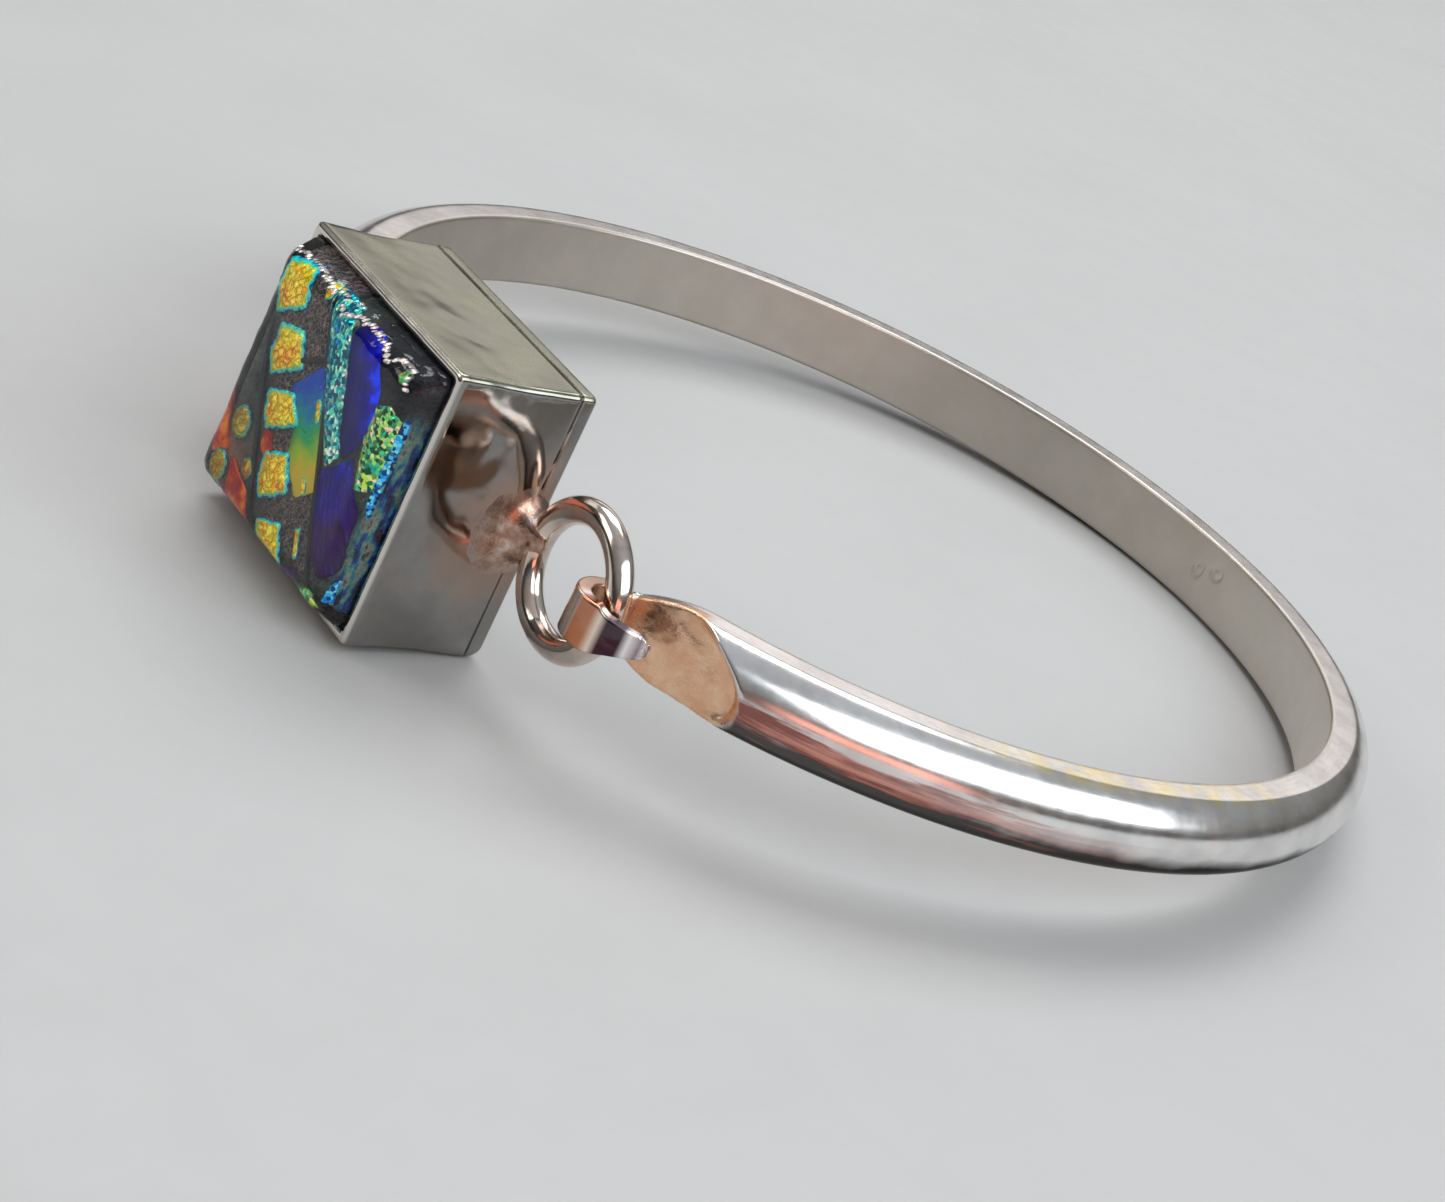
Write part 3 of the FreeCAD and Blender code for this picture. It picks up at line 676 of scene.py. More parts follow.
class Look:
    """A node material, built with short calls."""

    def __init__(self, name):
        self.material = bpy.data.materials.new(name)
        self.material.use_nodes = True
        self.tree = self.material.node_tree
        self.tree.nodes.clear()
        place = self.tree.nodes.new("ShaderNodeTexCoord").outputs["Object"]
        scaled = self.tree.nodes.new("ShaderNodeVectorMath")
        scaled.operation = "SCALE"
        self.tree.links.new(place, scaled.inputs[0])
        scaled.inputs["Scale"].default_value = 1 / MM
        self.place = scaled.outputs[0]

    def feed(self, socket, value):
        if isinstance(value, bpy.types.NodeSocket):
            self.tree.links.new(value, socket)
        else:
            socket.default_value = value

    def node(self, kind, settings=(), inputs=()):
        made = self.tree.nodes.new("ShaderNode" + kind)
        for name, value in dict(settings).items():
            setattr(made, name, value)
        for name, value in dict(inputs).items():
            self.feed(made.inputs[name], value)
        return made

    def calc(self, operation, first, second=0.0):
        return self.node("Math", {"operation": operation}, {0: first, 1: second}).outputs[0]

    def times(self, first, *others):
        for other in others:
            first = self.calc("MULTIPLY", first, other)
        return first

    def plus(self, first, *others):
        for other in others:
            first = self.calc("ADD", first, other)
        return first

    def length(self, first, second):
        return self.calc("SQRT", self.plus(self.times(first, first), self.times(second, second)))

    def noise(self, scale, detail=3.0, roughness=0.55, vector=None):
        made = self.node("TexNoise", {}, {
            "Vector": vector or self.place, "Scale": scale, "Detail": detail, "Roughness": roughness})
        return made.outputs[0]

    def cells(self, scale, feature="F1", output="Distance", vector=None):
        made = self.node("TexVoronoi", {"feature": feature}, {
            "Vector": vector or self.place, "Scale": scale, "Randomness": 1.0})
        return made.outputs[output]

    def ramp(self, value, stops):
        made = self.node("ValToRGB", {}, {"Fac": value})
        fill_ramp(made.color_ramp, stops)
        return made.outputs[0]

    def level(self, value, low, high, out_low=0.0, out_high=1.0):
        made = self.node("MapRange", {"clamp": True}, {
            "Value": value, "From Min": low, "From Max": high, "To Min": out_low, "To Max": out_high})
        return made.outputs[0]

    def fade(self, value, full, none, most=1.0):
        """Most at one value, falling to 0 at another."""
        return self.level(value, full, none, most, 0.0)

    def near(self, value, middle, full, none):
        """1 within one distance of the middle, falling to 0 at another."""
        return self.fade(self.calc("ABSOLUTE", self.plus(value, -middle)), full, none)

    def swing(self, value, amount):
        """Noise turned into a shift of up to an amount either way."""
        return self.level(value, 0.3, 0.7, -amount, amount)

    def mix(self, share, first, second):
        made = self.node("Mix", {"data_type": "RGBA", "blend_type": "MIX"})
        self.feed(made.inputs[0], share)
        for number, colour in ((6, first), (7, second)):
            fixed = not isinstance(colour, bpy.types.NodeSocket)
            self.feed(made.inputs[number], (*colour, 1) if fixed else colour)
        return made.outputs[2]

    def bump(self, height, strength, distance, normal=None):
        made = self.node("Bump", {}, {"Height": height, "Strength": strength, "Distance": distance * MM})
        if normal is not None:
            self.feed(made.inputs["Normal"], normal)
        return made.outputs[0]

    def parts(self, vector):
        return self.node("SeparateXYZ", {}, {0: vector}).outputs

    def vector(self, x, y, z):
        return self.node("CombineXYZ", {}, {0: x, 1: y, 2: z}).outputs[0]

    def attribute(self, name):
        return self.node("Attribute", {"attribute_name": name}).outputs["Fac"]

    def finish(self, shader):
        output = self.node("OutputMaterial")
        self.tree.links.new(shader, output.inputs["Surface"])
        return self.material

    def principled(self, inputs):
        return self.node("BsdfPrincipled", {}, inputs).outputs[0]

    def metal(self, tone, rough, normal, metallic=1.0, extra=()):
        return self.finish(self.principled({
            "Base Color": tone, "Metallic": metallic, "Roughness": rough, "Normal": normal, **dict(extra)}))


def around(look, x, y):
    """Angle round the bangle from its front, and distance from its axis."""
    return look.calc("ARCTAN2", x, look.times(y, -1.0)), look.length(x, y)


def streak_place(look, kind):
    """Coordinates in which polishing scratches run along a piece."""
    x, y, z = look.parts(look.place)
    if kind == "band":
        angle, radius = around(look, x, y)
        return look.vector(look.times(angle, 2.2), radius, z)
    if kind == "wall":
        return look.vector(look.times(x, 0.25), look.times(y, 0.2), z)
    return look.vector(x, look.times(y, 0.35), z)


def silver_look(name, kind, light, dark, warm, roughness, scratch, warmth=0.35, wave=0.25, spread=0.08):
    """Polished silver: uneven tone, warm tarnish, fine scratches and small dings."""
    look = Look(name)
    streaks = streak_place(look, kind)
    broad = look.noise(0.32, 4.0, 0.6)
    fine = look.noise(7.0, 6.0, 0.7, streaks)
    hair = look.noise(26.0, 3.0, 0.6, streaks)
    tone = look.mix(look.level(broad, 0.38, 0.64), light, dark)
    blush = look.level(look.noise(0.55, 5.0, 0.62), 0.5, 0.72, 0.0, warmth)
    tone = look.mix(blush, tone, warm)
    tone = look.mix(look.level(fine, 0.56, 0.75, 0.0, 0.22), tone, dark)
    specks = look.fade(look.cells(1.7), 0.0, 0.055)
    pits = look.times(specks, look.level(look.noise(0.6), 0.52, 0.6))
    tone = look.mix(look.times(pits, 0.7), tone, (0.09, 0.07, 0.06))
    rough = look.level(look.noise(0.8, 5.0, 0.7), 0.35, 0.7, roughness, roughness + spread)
    rough = look.plus(rough, look.level(fine, 0.5, 0.75, 0.0, spread))
    normal = look.bump(look.noise(0.45, 2.0, 0.5), wave, 0.1)
    normal = look.bump(look.plus(look.times(hair, 0.5), look.times(fine, 0.7)), scratch, 0.03, normal)
    normal = look.bump(look.times(pits, -1.0), 0.4, 0.05, normal)
    return look, tone, rough, normal


# Painted highlights and reflections along each hook, from its tip round its bend: white highlight lines, dark
# violet and copper-red reflections.
HOOK_PAINTED_LIGHT = [
    (0.04, (0.95, 0.9, 0.88)), (0.09, (0.2, 0.16, 0.17)), (0.13, (0.95, 0.92, 0.92)),
    (0.18, (0.3, 0.25, 0.27)), (0.25, (0.95, 0.92, 0.94)), (0.29, (0.04, 0.02, 0.035)),
    (0.37, (0.05, 0.02, 0.035)), (0.4, (0.98, 0.84, 0.7)), (0.43, (0.55, 0.22, 0.11)),
    (0.5, (0.45, 0.17, 0.08)), (0.54, (0.98, 0.88, 0.82)), (0.6, (0.6, 0.38, 0.26)),
    (1.0, (0.3, 0.2, 0.15)),
]


def band_look():
    """Silver, with copper-warm filed ends, a ruddy streak beside them painted as a reflection, painted shade
    on the underside, a painted gold glint on the top edge, hooks striped with painted highlights and
    reflections, and a duller wrist face painted lighter towards +x.
    """
    look, tone, rough, normal = silver_look(
        "band_silver", "band", (0.84, 0.83, 0.82), (0.68, 0.67, 0.66), (0.86, 0.73, 0.62),
        roughness=0.16, scratch=0.04, wave=0.1)
    flat = look.attribute("flat")
    hook = look.attribute("hook")
    x, y, z = look.parts(look.place)
    angle, radius = around(look, x, y)
    plain = look.fade(flat, 0.0, 0.5)
    inside = look.fade(radius, WRIST_RADIUS + 0.05, WRIST_RADIUS + 0.3)
    outside = look.calc("SUBTRACT", 1.0, inside)
    # Painted shade: the lower part of the outer face is painted dark and its specular tint dimmed, as if it
    # reflected dark ground.
    under = look.level(look.plus(z, look.swing(look.noise(0.3), 0.3)), -0.3, -1.1, 0.0, 0.95)
    under = look.times(under, plain, outside)
    tone = look.mix(under, tone, (0.1, 0.096, 0.092))
    underside_shade_tint = look.mix(under, (1.0, 1.0, 1.0), (0.3, 0.3, 0.3))

    # Painted reflection: a ragged ruddy streak on the outer face beside the filed flat.
    grain = look.noise(2.6, 4.0, 0.6, streak_place(look, "band"))
    ruddy_reflection = look.near(look.plus(z, look.swing(grain, 0.55)), -0.55, 0.5, 0.85)
    ruddy_reflection = look.times(ruddy_reflection, look.fade(angle, 0.95, 1.5), look.level(angle, 0.2, 0.4))
    ruddy_reflection = look.times(ruddy_reflection, outside, plain, 0.88)
    ruddy = look.mix(look.level(grain, 0.42, 0.6), (0.26, 0.05, 0.035), (0.8, 0.33, 0.25))
    tone = look.mix(ruddy_reflection, tone, ruddy)
    # Painted highlight: a mottled gold glint along the top inner edge of the near bar.
    glint = look.times(look.level(z, 2.1, 2.3), look.near(angle, 1.45, 0.2, 0.4))
    glint = look.times(glint, look.level(look.noise(0.7, 2.0), 0.36, 0.6), 0.62)
    tone = look.mix(glint, tone, (0.95, 0.8, 0.3))

    # The filed flat is painted copper, mottled, with darker patches.
    flat_mottle = look.level(look.noise(0.9, 4.0, 0.6), 0.35, 0.65)
    copper = look.mix(flat_mottle, (0.82, 0.45, 0.26), (0.95, 0.62, 0.4))
    flat_dark_mottle = look.level(look.noise(2.6, 4.0, 0.7), 0.6, 0.75, 0.0, 0.25)
    copper = look.mix(flat_dark_mottle, copper, (0.5, 0.3, 0.2))
    tone = look.mix(look.level(flat, 0.1, 0.9, 0.0, 0.94), tone, copper)
    # Painted highlights and reflections laid along the hooks.
    bright = look.times(look.level(hook, 0.0, 0.02), 0.94)
    tone = look.mix(bright, tone, look.ramp(hook, HOOK_PAINTED_LIGHT))
    # Painted light: the wrist face is painted lighter towards +x and darker towards the other end, as light
    # falls on it.
    wrist = look.mix(look.level(x, 0.0, 29.0), (0.4, 0.355, 0.29), (0.85, 0.79, 0.7))
    tone = look.mix(look.times(inside, 0.75), tone, wrist)

    rough = look.plus(rough, look.times(inside, 0.2), look.times(flat, 0.08))
    normal = look.bump(look.times(look.noise(3.4, 4.0, 0.6), flat), 0.3, 0.08, normal)
    tip = look.times(look.level(hook, 0.005, 0.02), look.fade(hook, 0.14, 0.24))
    normal = look.bump(look.times(look.noise(2.2, 3.0, 0.5), tip), 0.9, 0.3, normal)
    return look.metal(tone, rough, normal, extra={"Specular Tint": underside_shade_tint})


def wire_look():
    """Bright warm wire."""
    look, tone, rough, normal = silver_look(
        "ring_silver", "ring", (0.84, 0.76, 0.7), (0.55, 0.48, 0.43), (0.88, 0.58, 0.4),
        roughness=0.08, scratch=0.06, warmth=0.7)
    return look.metal(tone, rough, normal)


def wall_look():
    """Polished sheet, duller and darker than the band's silver as painted shade, olive on top as a painted
    reflection with smudges, its front rim painted bright as a highlight, warm by the solder.
    """
    # Painted shade: the wall's silver tones are set far darker than the band's.
    look, tone, rough, normal = silver_look(
        "bezel_silver", "wall", (0.31, 0.305, 0.295), (0.25, 0.245, 0.235), (0.36, 0.28, 0.22),
        roughness=0.04, scratch=0.05, wave=0.06, spread=0.03)
    x, y, z = look.parts(look.place)
    # Painted reflection: the top face is painted olive; the smudges mottling it are dirt.
    top = look.level(z, WALL_TALL - 0.35, WALL_TALL - 0.12)
    smudge = look.level(look.noise(0.28, 3.0, 0.5), 0.4, 0.66)
    olive = look.mix(smudge, (0.36, 0.365, 0.26), (0.22, 0.22, 0.16))
    tone = look.mix(look.times(top, 0.85), tone, olive)
    rough = look.plus(rough, look.times(top, look.level(smudge, 0.0, 1.0, 0.22, 0.1)))
    # Painted highlight: the front rim is painted bright against the dark wall.
    rim = look.fade(y, WALL_FRONT + 0.1, WALL_FRONT + 0.22)
    tone = look.mix(look.times(rim, 0.8), tone, (0.85, 0.8, 0.74))
    # A warm tint painted on the side walls round the solder joint.
    far = look.plus(look.length(look.plus(y, 30.0), z), look.swing(look.noise(0.7, 4.0), 0.8))
    side_warmth = look.fade(far, 2.2, 5.4, 0.8)
    side_warmth = look.times(side_warmth, look.level(look.calc("ABSOLUTE", x), 7.6, 8.0))
    tone = look.mix(side_warmth, tone, (0.42, 0.27, 0.2))
    return look.metal(tone, rough, normal)


def solder_look():
    """Lumpy warm metal, dark in its hollows, thinning out to the colour of the wall."""
    look = Look("solder")
    lumps = look.noise(1.4, 6.0, 0.65)
    tone = look.ramp(lumps, [(0.3, (0.2, 0.1, 0.07)), (0.5, (0.44, 0.27, 0.2)), (0.7, (0.75, 0.6, 0.52))])
    pits = look.times(look.fade(look.cells(2.2), 0.0, 0.09), look.level(look.noise(0.9), 0.5, 0.6))
    tone = look.mix(pits, tone, (0.05, 0.03, 0.02))
    # The thin edge fades to the wall's tone, which is painted dark as shade.
    thin = look.level(look.plus(look.attribute("edge"), look.swing(lumps, 0.12)), 0.5, 0.95)
    tone = look.mix(thin, tone, (0.36, 0.29, 0.25))
    rough = look.level(lumps, 0.3, 0.7, 0.2, 0.07)
    normal = look.bump(lumps, 0.4, 0.12)
    normal = look.bump(look.noise(9.0, 4.0, 0.7), 0.25, 0.03, normal)
    return look.metal(tone, rough, normal, 0.95)


def crackle(look, scale):
    """Fine crinkles of a fired metal film."""
    warp = look.noise(2.4, 3.0, 0.6)
    shift = look.vector(warp, warp, warp)
    shifted = look.node("VectorMath", {"operation": "ADD"}, {0: look.place, 1: shift}).outputs[0]
    return look.cells(scale, "DISTANCE_TO_EDGE", vector=shifted)


def film(look, tone, lines, metallic=0.75, rough_low=0.18, rough_high=0.4, depth=0.06, painted_glow=0.0):
    """A bright metal film under glass, crinkled along its lines, emitting its own colour as painted light."""
    rough = look.level(lines, 0.0, 0.25, rough_high, rough_low)
    normal = look.bump(lines, 0.55, depth)
    # Painted light: the film emits its own colour though it is no lamp.
    return look.metal(tone, rough, normal, metallic, {
        "Specular IOR Level": 0.15, "Emission Color": tone, "Emission Strength": painted_glow})


def gold_look(name="gold_glass", strength=1.0):
    """Gold film, orange in its crinkles, that turns green and blue towards a piece's edge."""
    look = Look(name)
    lines = crackle(look, 2.3)
    edge = look.attribute("edge")
    blotch = look.noise(0.8, 4.0, 0.6)
    body = look.ramp(blotch, [(0.32, (0.8, 0.22, 0.01)), (0.44, (0.92, 0.5, 0.01)), (0.6, (0.9, 0.76, 0.03))])
    body = look.mix(look.fade(lines, 0.0, 0.14, 0.8), body, (0.16, 0.06, 0.0))
    body = look.mix(look.level(lines, 0.16, 0.34, 0.0, 0.8), body, (1.0, 0.9, 0.12))
    worn = look.plus(edge, look.swing(look.noise(3.5, 3.0), 0.09))
    tone = look.mix(look.level(worn, 0.76, 0.88), body, (0.15, 0.7, 0.2))
    tone = look.mix(look.level(worn, 0.85, 0.94), tone, (0.0, 0.6, 0.75))
    tone = look.mix(look.level(worn, 0.97, 1.0), tone, (0.0, 0.08, 0.25))
    tone = look.mix(1 - strength, tone, (0.08, 0.06, 0.03))
    return film(look, tone, lines, painted_glow=0.22 * strength)


def glitter(name, stops, scale, ground, painted_glow=0.2, share=0.5):
    """A field of small bright flakes, each with its own colour."""
    look = Look(name)
    colour = look.cells(scale, "F1", "Color")
    picked = look.parts(colour)
    across = look.noise(0.45, 3.0)
    choice = look.plus(look.times(picked[0], 0.55), look.times(across, 0.5))
    tone = look.ramp(choice, stops)
    tone = look.mix(look.level(picked[1], share, share + 0.25), tone, ground)
    tilt = look.plus(picked[2], look.times(look.cells(scale), 0.6))
    return film(look, tone, tilt, 0.8, 0.1, 0.35, 0.09, painted_glow)


TEAL_FLAKES = [
    (0.2, (0.0, 0.08, 0.5)), (0.38, (0.0, 0.4, 0.5)), (0.52, (0.02, 0.65, 0.5)), (0.66, (0.2, 0.8, 0.5)),
    (0.8, (0.95, 0.95, 0.75)),
]
GREEN_FLAKES = [
    (0.2, (0.0, 0.35, 0.3)), (0.4, (0.08, 0.7, 0.25)), (0.6, (0.55, 0.8, 0.05)), (0.8, (1.0, 0.75, 0.55)),
]
AZURE_FLAKES = [(0.2, (0.0, 0.1, 0.6)), (0.45, (0.0, 0.4, 0.8)), (0.7, (0.2, 0.75, 0.85))]


def green_look():
    """Film that shades from gold over green to blue across the piece."""
    look = Look("green_glass")
    x, _, z = look.parts(look.place)
    slope = look.plus(look.times(x, -0.12), look.times(z, 0.2), 0.52, look.swing(look.noise(0.7), 0.14))
    tone = look.ramp(slope, [
        (0.0, (0.5, 0.38, 0.02)), (0.2, (0.28, 0.42, 0.02)), (0.42, (0.01, 0.32, 0.08)),
        (0.66, (0.0, 0.24, 0.28)), (0.9, (0.0, 0.06, 0.4))])
    flecks = look.fade(look.cells(3.2), 0.0, 0.16)
    tone = look.mix(look.times(flecks, 0.6), tone, (0.6, 0.7, 0.1))
    return film(look, tone, look.noise(1.6, 4.0), 0.55, 0.12, 0.3, 0.05, 0.12)


def night_look():
    """Almost black glass."""
    look = Look("night_glass")
    tone = look.mix(look.noise(1.4, 4.0), (0.004, 0.006, 0.01), (0.03, 0.03, 0.035))
    return film(look, tone, look.noise(2.2, 4.0), 0.1, 0.1, 0.3, 0.05)


def frost_and_glint_look():
    """Fired silver crystals that also serve as painted glints on the casing's edge: white, with a few pink
    and green grains.
    """
    look = Look("frost_and_glint_glass")
    picked = look.parts(look.cells(5.0, "F1", "Color"))
    tone = look.ramp(picked[0], [
        (0.0, (0.25, 0.24, 0.22)), (0.35, (0.75, 0.72, 0.68)), (0.7, (0.95, 0.93, 0.9)),
        (0.9, (0.9, 0.6, 0.55))])
    return film(look, tone, picked[1], 0.7, 0.1, 0.3, 0.08, 0.15)


def cobalt_look():
    """Deep blue glass, near black at its lower end."""
    look = Look("cobalt_glass")
    x, _, z = look.parts(look.place)
    slope = look.plus(look.times(x, 0.55), look.times(z, 0.45), look.swing(look.noise(1.2), 0.5))
    tone = look.ramp(look.level(slope, 2.5, 4.9), [
        (0.0, (0.0, 0.0, 0.05)), (0.5, (0.0, 0.0, 0.1)), (0.8, (0.0, 0.0, 0.28)), (1.0, (0.0, 0.03, 0.8))])
    return film(look, tone, look.noise(2.0, 4.0), 0.2, 0.12, 0.25, 0.04, 0.4)


def violet_look():
    """Blue to violet film with dark lines along the stripes and a few blue sparks."""
    look = Look("violet_glass")
    x, _, z = look.parts(look.place)
    slope = look.plus(look.times(x, 0.16), look.times(z, -0.14), look.swing(look.noise(0.8), 0.25))
    tone = look.ramp(look.level(slope, 0.3, 1.9), [
        (0.0, (0.0, 0.005, 0.5)), (0.25, (0.0, 0.0, 0.22)), (0.45, (0.02, 0.0, 0.16)),
        (0.7, (0.03, 0.003, 0.07)), (1.0, (0.035, 0.03, 0.05))])
    along = look.vector(look.plus(look.times(x, 0.88), look.times(z, 0.48)), 0.0, look.times(z, 0.12))
    grain = look.noise(5.0, 4.0, 0.6, along)
    tone = look.mix(look.level(grain, 0.48, 0.62, 0.0, 0.8), tone, (0.004, 0.004, 0.015))
    tone = look.mix(look.fade(grain, 0.32, 0.42, 0.6), tone, (0.05, 0.05, 0.55))
    spark = look.times(look.fade(look.cells(4.5), 0.0, 0.18), look.level(z, -1.6, 0.4))
    tone = look.mix(spark, tone, (0.1, 0.3, 1.0))
    return film(look, tone, look.noise(1.8, 4.0), 0.75, 0.08, 0.25, 0.05, 0.3)


def ember_look():
    """Dark red glass with orange spots."""
    look = Look("ember_glass")
    blotch = look.noise(0.9, 4.0, 0.6)
    tone = look.ramp(blotch, [
        (0.35, (0.14, 0.004, 0.003)), (0.52, (0.36, 0.018, 0.004)), (0.7, (0.8, 0.2, 0.01))])
    return film(look, tone, look.noise(2.4, 4.0), 0.3, 0.12, 0.3, 0.05, 0.1)


def core_look():
    """Dark ground: crinkled brown-grey film in the middle, smoky glass around it."""
    look = Look("dark_glass")
    x, y, z = look.parts(look.place)
    lines = crackle(look, 3.0)
    stripes = look.plus(look.times(x, 0.875), look.times(z, 0.485))
    blotch = look.noise(0.7, 5.0, 0.65)
    crinkled = look.mix(look.level(lines, 0.0, 0.12), (0.2, 0.15, 0.13), (0.02, 0.02, 0.025))
    crinkled = look.mix(look.level(look.noise(3.0, 5.0, 0.7), 0.56, 0.7), crinkled, (0.4, 0.3, 0.27))
    smoky = look.mix(look.level(blotch, 0.35, 0.65), (0.015, 0.022, 0.02), (0.07, 0.085, 0.075))
    tone = look.mix(look.near(stripes, -0.6, 1.9, 3.2), smoky, crinkled)
    night = look.times(look.level(x, 0.2, 1.6), look.level(z, 3.6, 5.4))
    tone = look.mix(night, tone, (0.008, 0.008, 0.012))
    bars = look.calc("MAXIMUM", look.near(stripes, -4.15, 0.16, 0.34), look.near(stripes, 2.0, 0.14, 0.3))
    tone = look.mix(bars, tone, (0.006, 0.008, 0.012))
    rust = look.times(look.level(x, -2.6, -5.6), look.level(z, -2.2, -4.6))
    tone = look.mix(look.times(rust, 0.75), tone, (0.32, 0.14, 0.08))
    drawn = look.vector(look.times(x, 0.3), y, look.times(z, 0.3))
    sheen = look.ramp(look.noise(2.2, 5.0, 0.6, drawn), [
        (0.38, (0.006, 0.008, 0.012)), (0.47, (0.01, 0.05, 0.25)), (0.53, (0.03, 0.22, 0.16)),
        (0.59, (0.2, 0.21, 0.18)), (0.66, (0.02, 0.02, 0.03))])
    side = look.times(look.level(x, 6.4, 6.85), look.level(z, 5.0, 3.4))
    tone = look.mix(side, tone, sheen)
    return film(look, tone, lines, 0.25, 0.15, 0.4, 0.08, 0.05)


def clear_look():
    """Clear glass with a faint smoke and fire-polished waves, which lets lamplight through."""
    look = Look("clear_glass")
    smoke = look.level(look.noise(0.4, 3.0), 0.35, 0.7)
    tone = look.mix(smoke, (0.97, 0.99, 0.985), (0.86, 0.9, 0.9))
    rough = look.level(look.noise(1.3, 4.0), 0.4, 0.75, 0.01, 0.09)
    normal = look.bump(look.noise(0.8, 3.0, 0.6), 0.25, 0.12)
    normal = look.bump(look.noise(5.0, 3.0, 0.6), 0.08, 0.03, normal)
    glass = look.principled({
        "Base Color": tone, "Roughness": rough, "Normal": normal, "IOR": 1.4, "Transmission Weight": 1.0,
        "Specular IOR Level": 0.16})
    open_way = look.node("BsdfTransparent", {}, {"Color": (0.93, 0.95, 0.95, 1)}).outputs[0]
    shadow = look.node("LightPath").outputs["Is Shadow Ray"]
    both = look.node("MixShader", {}, {0: shadow, 1: glass, 2: open_way}).outputs[0]
    return look.finish(both)


def backing_look():
    look = Look("backing")
    grain = look.noise(4.0, 5.0, 0.7)
    tone = look.mix(grain, (0.05, 0.045, 0.04), (0.12, 0.1, 0.09))
    return look.finish(look.principled({
        "Base Color": tone, "Roughness": look.level(grain, 0.3, 0.7, 0.7, 0.95),
        "Normal": look.bump(grain, 0.4, 0.1)}))


def floor_look():
    look = Look("floor")
    tone = look.mix(look.noise(0.05, 4.0), (0.44, 0.435, 0.425), (0.49, 0.485, 0.475))
    return look.finish(look.principled({
        "Base Color": tone, "Roughness": look.level(look.noise(0.3), 0.3, 0.7, 0.55, 0.7),
        "Normal": look.bump(look.noise(1.5, 5.0), 0.08, 0.3)}))


def wear(piece, material):
    """Give a piece its one material."""
    piece.data.materials.clear()
    piece.data.materials.append(material)


# ---------------------------------------------------------------- stage, light and camera
FLOOR_TILT = math.radians(5.2)
FLOOR_HALF = 0.9
FLOOR_STEPS = 24
FLOOR_DROP = -8.02 * MM
FLOOR_TOUCH = (PLATE_REAR - 0.6) * MM


def make_floor():
    """A pale sheet the bangle lies on: it touches the bezel's lower rear edge and the far bar."""
    points = []
    faces = []
    for row in range(FLOOR_STEPS + 1):
        for column in range(FLOOR_STEPS + 1):
            x = (column / FLOOR_STEPS - 0.5) * 2 * FLOOR_HALF
            y = (row / FLOOR_STEPS - 0.5) * 2 * FLOOR_HALF
            points.append((x, y, FLOOR_DROP + (y - FLOOR_TOUCH) * math.tan(FLOOR_TILT)))
            if row < FLOOR_STEPS and column < FLOOR_STEPS:
                corner = row * (FLOOR_STEPS + 1) + column
                above = corner + FLOOR_STEPS + 1
                faces.append((corner, corner + 1, above + 1, above))
    mesh = bpy.data.meshes.new("floor")
    mesh.from_pydata(points, [], faces)
    floor = bpy.data.objects.new("floor", mesh)
    bpy.context.scene.collection.objects.link(floor)
    wear(floor, floor_look())


# name, place and target in metres, width, height, power in watts, colour
LIGHTS = [
    ("key", (-0.3, 0.15, 0.6), (0, 0, 0), 0.5, 0.35, 2.4, (0.97, 0.98, 1.0)),
    ("sky", (0.5, 0.06, 0.44), (0, 0, 0), 0.9, 0.45, 4.6, (0.9, 0.95, 1.0)),
    ("front", (-0.3, -0.5, 0.3), (0, -0.03, 0), 0.3, 0.3, 0.9, (1.0, 0.93, 0.86)),
    ("warm", (0.55, -0.24, 0.05), (0, 0, 0), 0.4, 0.12, 0.26, (1.0, 0.4, 0.3)),
    ("back", (-0.45, 0.45, 0.28), (0, 0, 0), 0.5, 0.16, 0.22, (1.0, 0.93, 0.92)),
]


def make_softbox(name, place, target, wide, tall, power, colour):
    """A flat rectangular lamp that faces its target."""
    light = bpy.data.lights.new(name, "AREA")
    light.shape = "RECTANGLE"
    light.size = wide
    light.size_y = tall
    light.energy = power
    light.color = colour
    lamp = bpy.data.objects.new(name, light)
    lamp.location = place
    lamp.rotation_euler = (Vector(target) - Vector(place)).to_track_quat("-Z", "Y").to_euler()
    bpy.context.scene.collection.objects.link(lamp)


ROOM_STRENGTH = 0.55
ROOM_SHADES = [
    (0.0, (0.07, 0.06, 0.055)), (0.12, (0.12, 0.11, 0.1)), (0.3, (0.38, 0.37, 0.35)),
    (0.65, (0.55, 0.57, 0.6)), (1.0, (0.9, 0.94, 1.0)),
]


def make_world():
    """An even grey room, lighter overhead."""
    world = bpy.data.worlds.new("room")
    world.use_nodes = True
    bpy.context.scene.world = world
    tree = world.node_tree
    tree.nodes.clear()
    place = tree.nodes.new("ShaderNodeTexCoord")
    split = tree.nodes.new("ShaderNodeSeparateXYZ")
    ramp = tree.nodes.new("ShaderNodeValToRGB")
    backdrop = tree.nodes.new("ShaderNodeBackground")
    output = tree.nodes.new("ShaderNodeOutputWorld")
    tree.links.new(place.outputs["Generated"], split.inputs[0])
    tree.links.new(split.outputs[2], ramp.inputs["Fac"])
    tree.links.new(ramp.outputs[0], backdrop.inputs["Color"])
    tree.links.new(backdrop.outputs[0], output.inputs["Surface"])
    fill_ramp(ramp.color_ramp, ROOM_SHADES)
    backdrop.inputs["Strength"].default_value = ROOM_STRENGTH


CAMERA_AZIMUTH = math.radians(45.12)
CAMERA_ELEVATION = math.radians(21.33)
CAMERA_ROLL = math.radians(26.7)
CAMERA_DISTANCE = 177 * MM
CAMERA_AIM = Vector((-1.23, -4.69, -7.97)) * MM
CAMERA_LENS = 73.78
SENSOR_WIDTH = 36.0


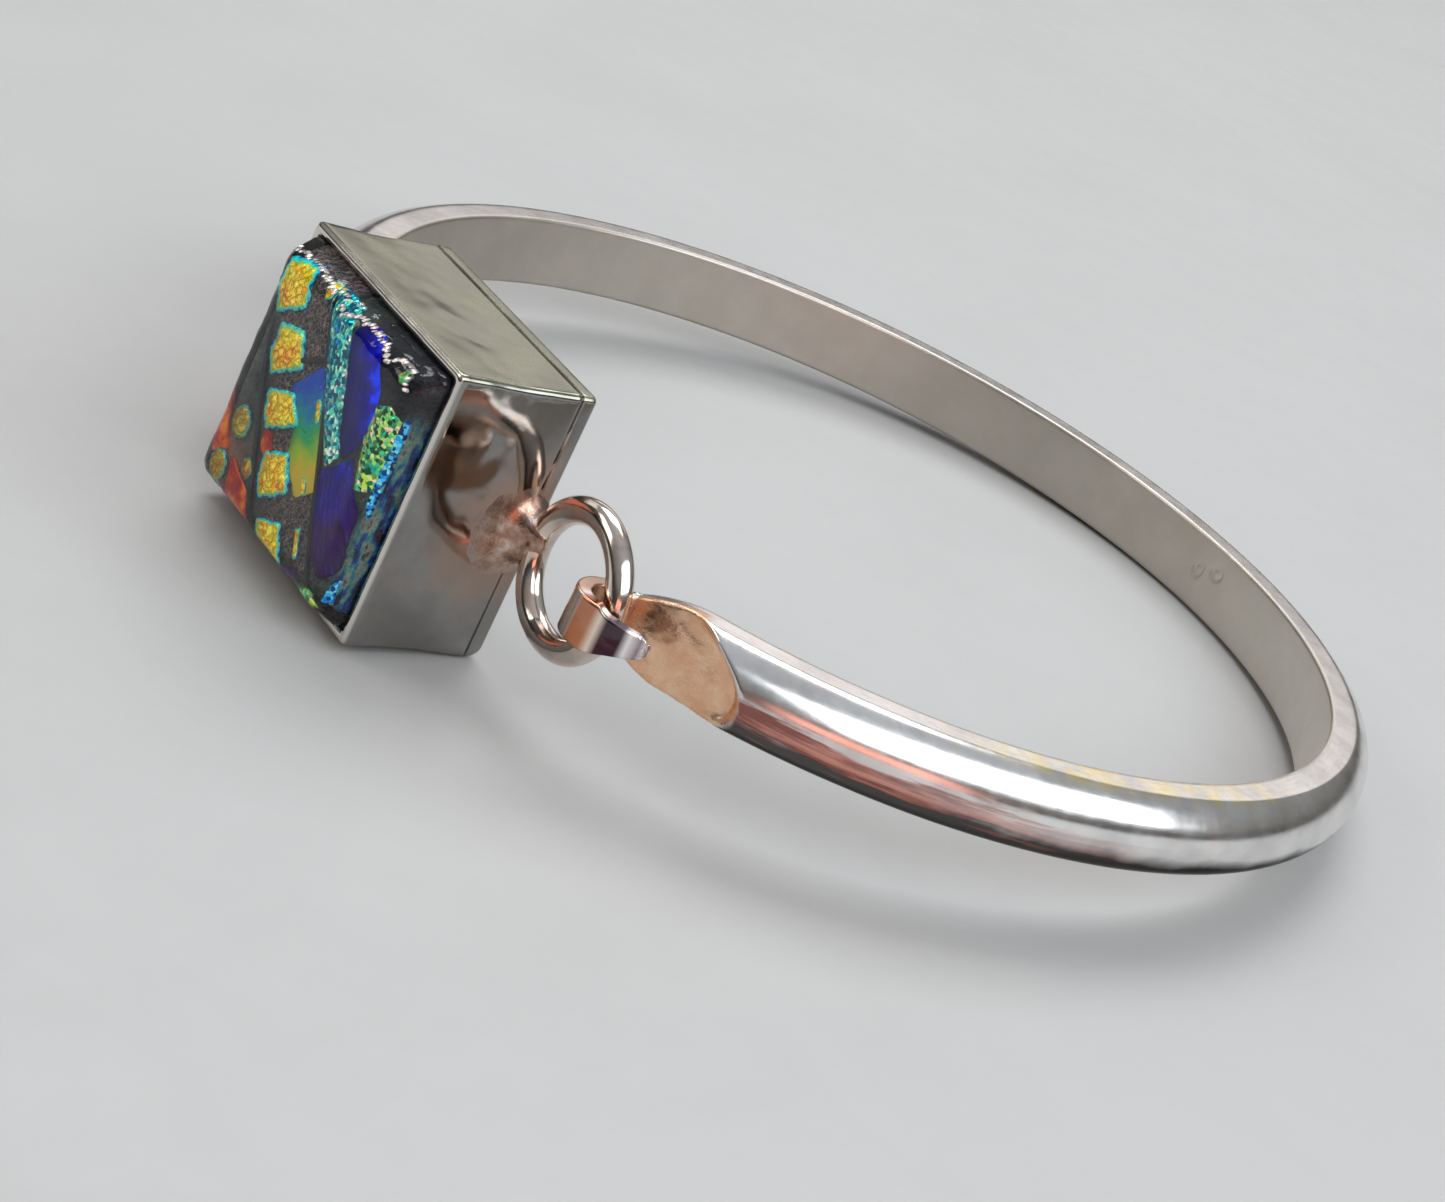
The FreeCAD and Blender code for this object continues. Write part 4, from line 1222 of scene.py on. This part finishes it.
def make_camera():
    """Look down on the hook's side of the bangle, the camera rolled to one side."""
    level = math.cos(CAMERA_ELEVATION)
    toward = Vector((level * math.sin(CAMERA_AZIMUTH), -level * math.cos(CAMERA_AZIMUTH),
                     math.sin(CAMERA_ELEVATION)))
    side = Vector((math.cos(CAMERA_AZIMUTH), math.sin(CAMERA_AZIMUTH), 0))
    above = toward.cross(side)
    right = math.cos(CAMERA_ROLL) * side + math.sin(CAMERA_ROLL) * above
    up = toward.cross(right)
    data = bpy.data.cameras.new("camera")
    data.lens = CAMERA_LENS
    data.sensor_width = SENSOR_WIDTH
    data.clip_start = 0.005
    camera = bpy.data.objects.new("camera", data)
    turn = Matrix((right, up, toward)).transposed()
    camera.matrix_world = Matrix.Translation(CAMERA_AIM + toward * CAMERA_DISTANCE) @ turn.to_4x4()
    bpy.context.scene.collection.objects.link(camera)
    bpy.context.scene.camera = camera


# ---------------------------------------------------------------- everything together
def main():
    wear(make_band(), band_look())
    sheet = wall_look()
    wear(make_wall(), sheet)
    wear(make_plate(), sheet)
    wire = wire_look()
    lump = solder_look()
    for name, side, seed in (("catch", 1, 2.0), ("hinge", -1, 9.0)):
        wear(make_wire_ring(name + "_ring", side), wire)
        wear(make_solder_lump(name + "_solder", side, seed), lump)
    wear(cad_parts["glass_backing"], backing_look())
    wear(make_core(), core_look())
    wear(make_cap(), clear_look())
    gold = gold_look()
    wear(glass_patches("gold_tiles", TILES, 0.5, 0.16, 0.1, 20, ["glass_gold_strip"], 1.14),
         gold)
    wear(glass_patches("gold_chips", CHIPS, 0.55, 0.1, 0.07, 30), gold)
    wear(glass_patches("gold_dots", DOTS, 0.5, 0.16, 0.08, 40), gold_look("olive_glass", 0.5))
    teal = glitter("teal_glass", TEAL_FLAKES, 4.6, (0.0, 0.1, 0.16))
    wear(glass_patches("teal_stripe", [STRIPE], 0.56, 0.1, 0.1, 50, ["glass_teal_strip"]), teal)
    wear(glass_patches("green_panel", [GREEN], 0.62, 0.06, 0.06, 55), green_look())
    wear(glass_patches("cobalt_leaf", [LEAF], 0.54, 0.1, 0.05, 60, ["glass_cobalt_leaf"]),
         cobalt_look())
    wear(glass_patches("violet_panel", VIOLET, 0.6, 0.08, 0.08, 65), violet_look())
    spark = glitter("sparkle_glass", GREEN_FLAKES, 4.6, (0.0, 0.08, 0.04))
    wear(glass_patches("green_sparkle", SPARKLE, 0.54, 0.1, 0.1, 70), spark)
    azure = glitter("azure_glass", AZURE_FLAKES, 5.5, (0.0, 0.03, 0.16))
    wear(glass_patches("azure_streaks", STREAKS, 0.5, 0.06, 0.05, 75), azure)
    wear(glass_patches("dark_stringers", LINES, 0.5, 0.08, 0.03, 90), night_look())
    # White grains along the casing's upper edge, partly painted glints.
    wear(glass_patches("frost_and_glint_grains", frost_outlines(), 0.22, 0.12, 0.05, 95), frost_and_glint_look())
    wear(glass_patches("ember_edge", EMBERS, 0.6, 0.08, 0.08, 80), ember_look())
    make_floor()
    make_world()
    for light in LIGHTS:
        make_softbox(*light)
    make_camera()
    bpy.context.scene.view_settings.view_transform = "Standard"


main()
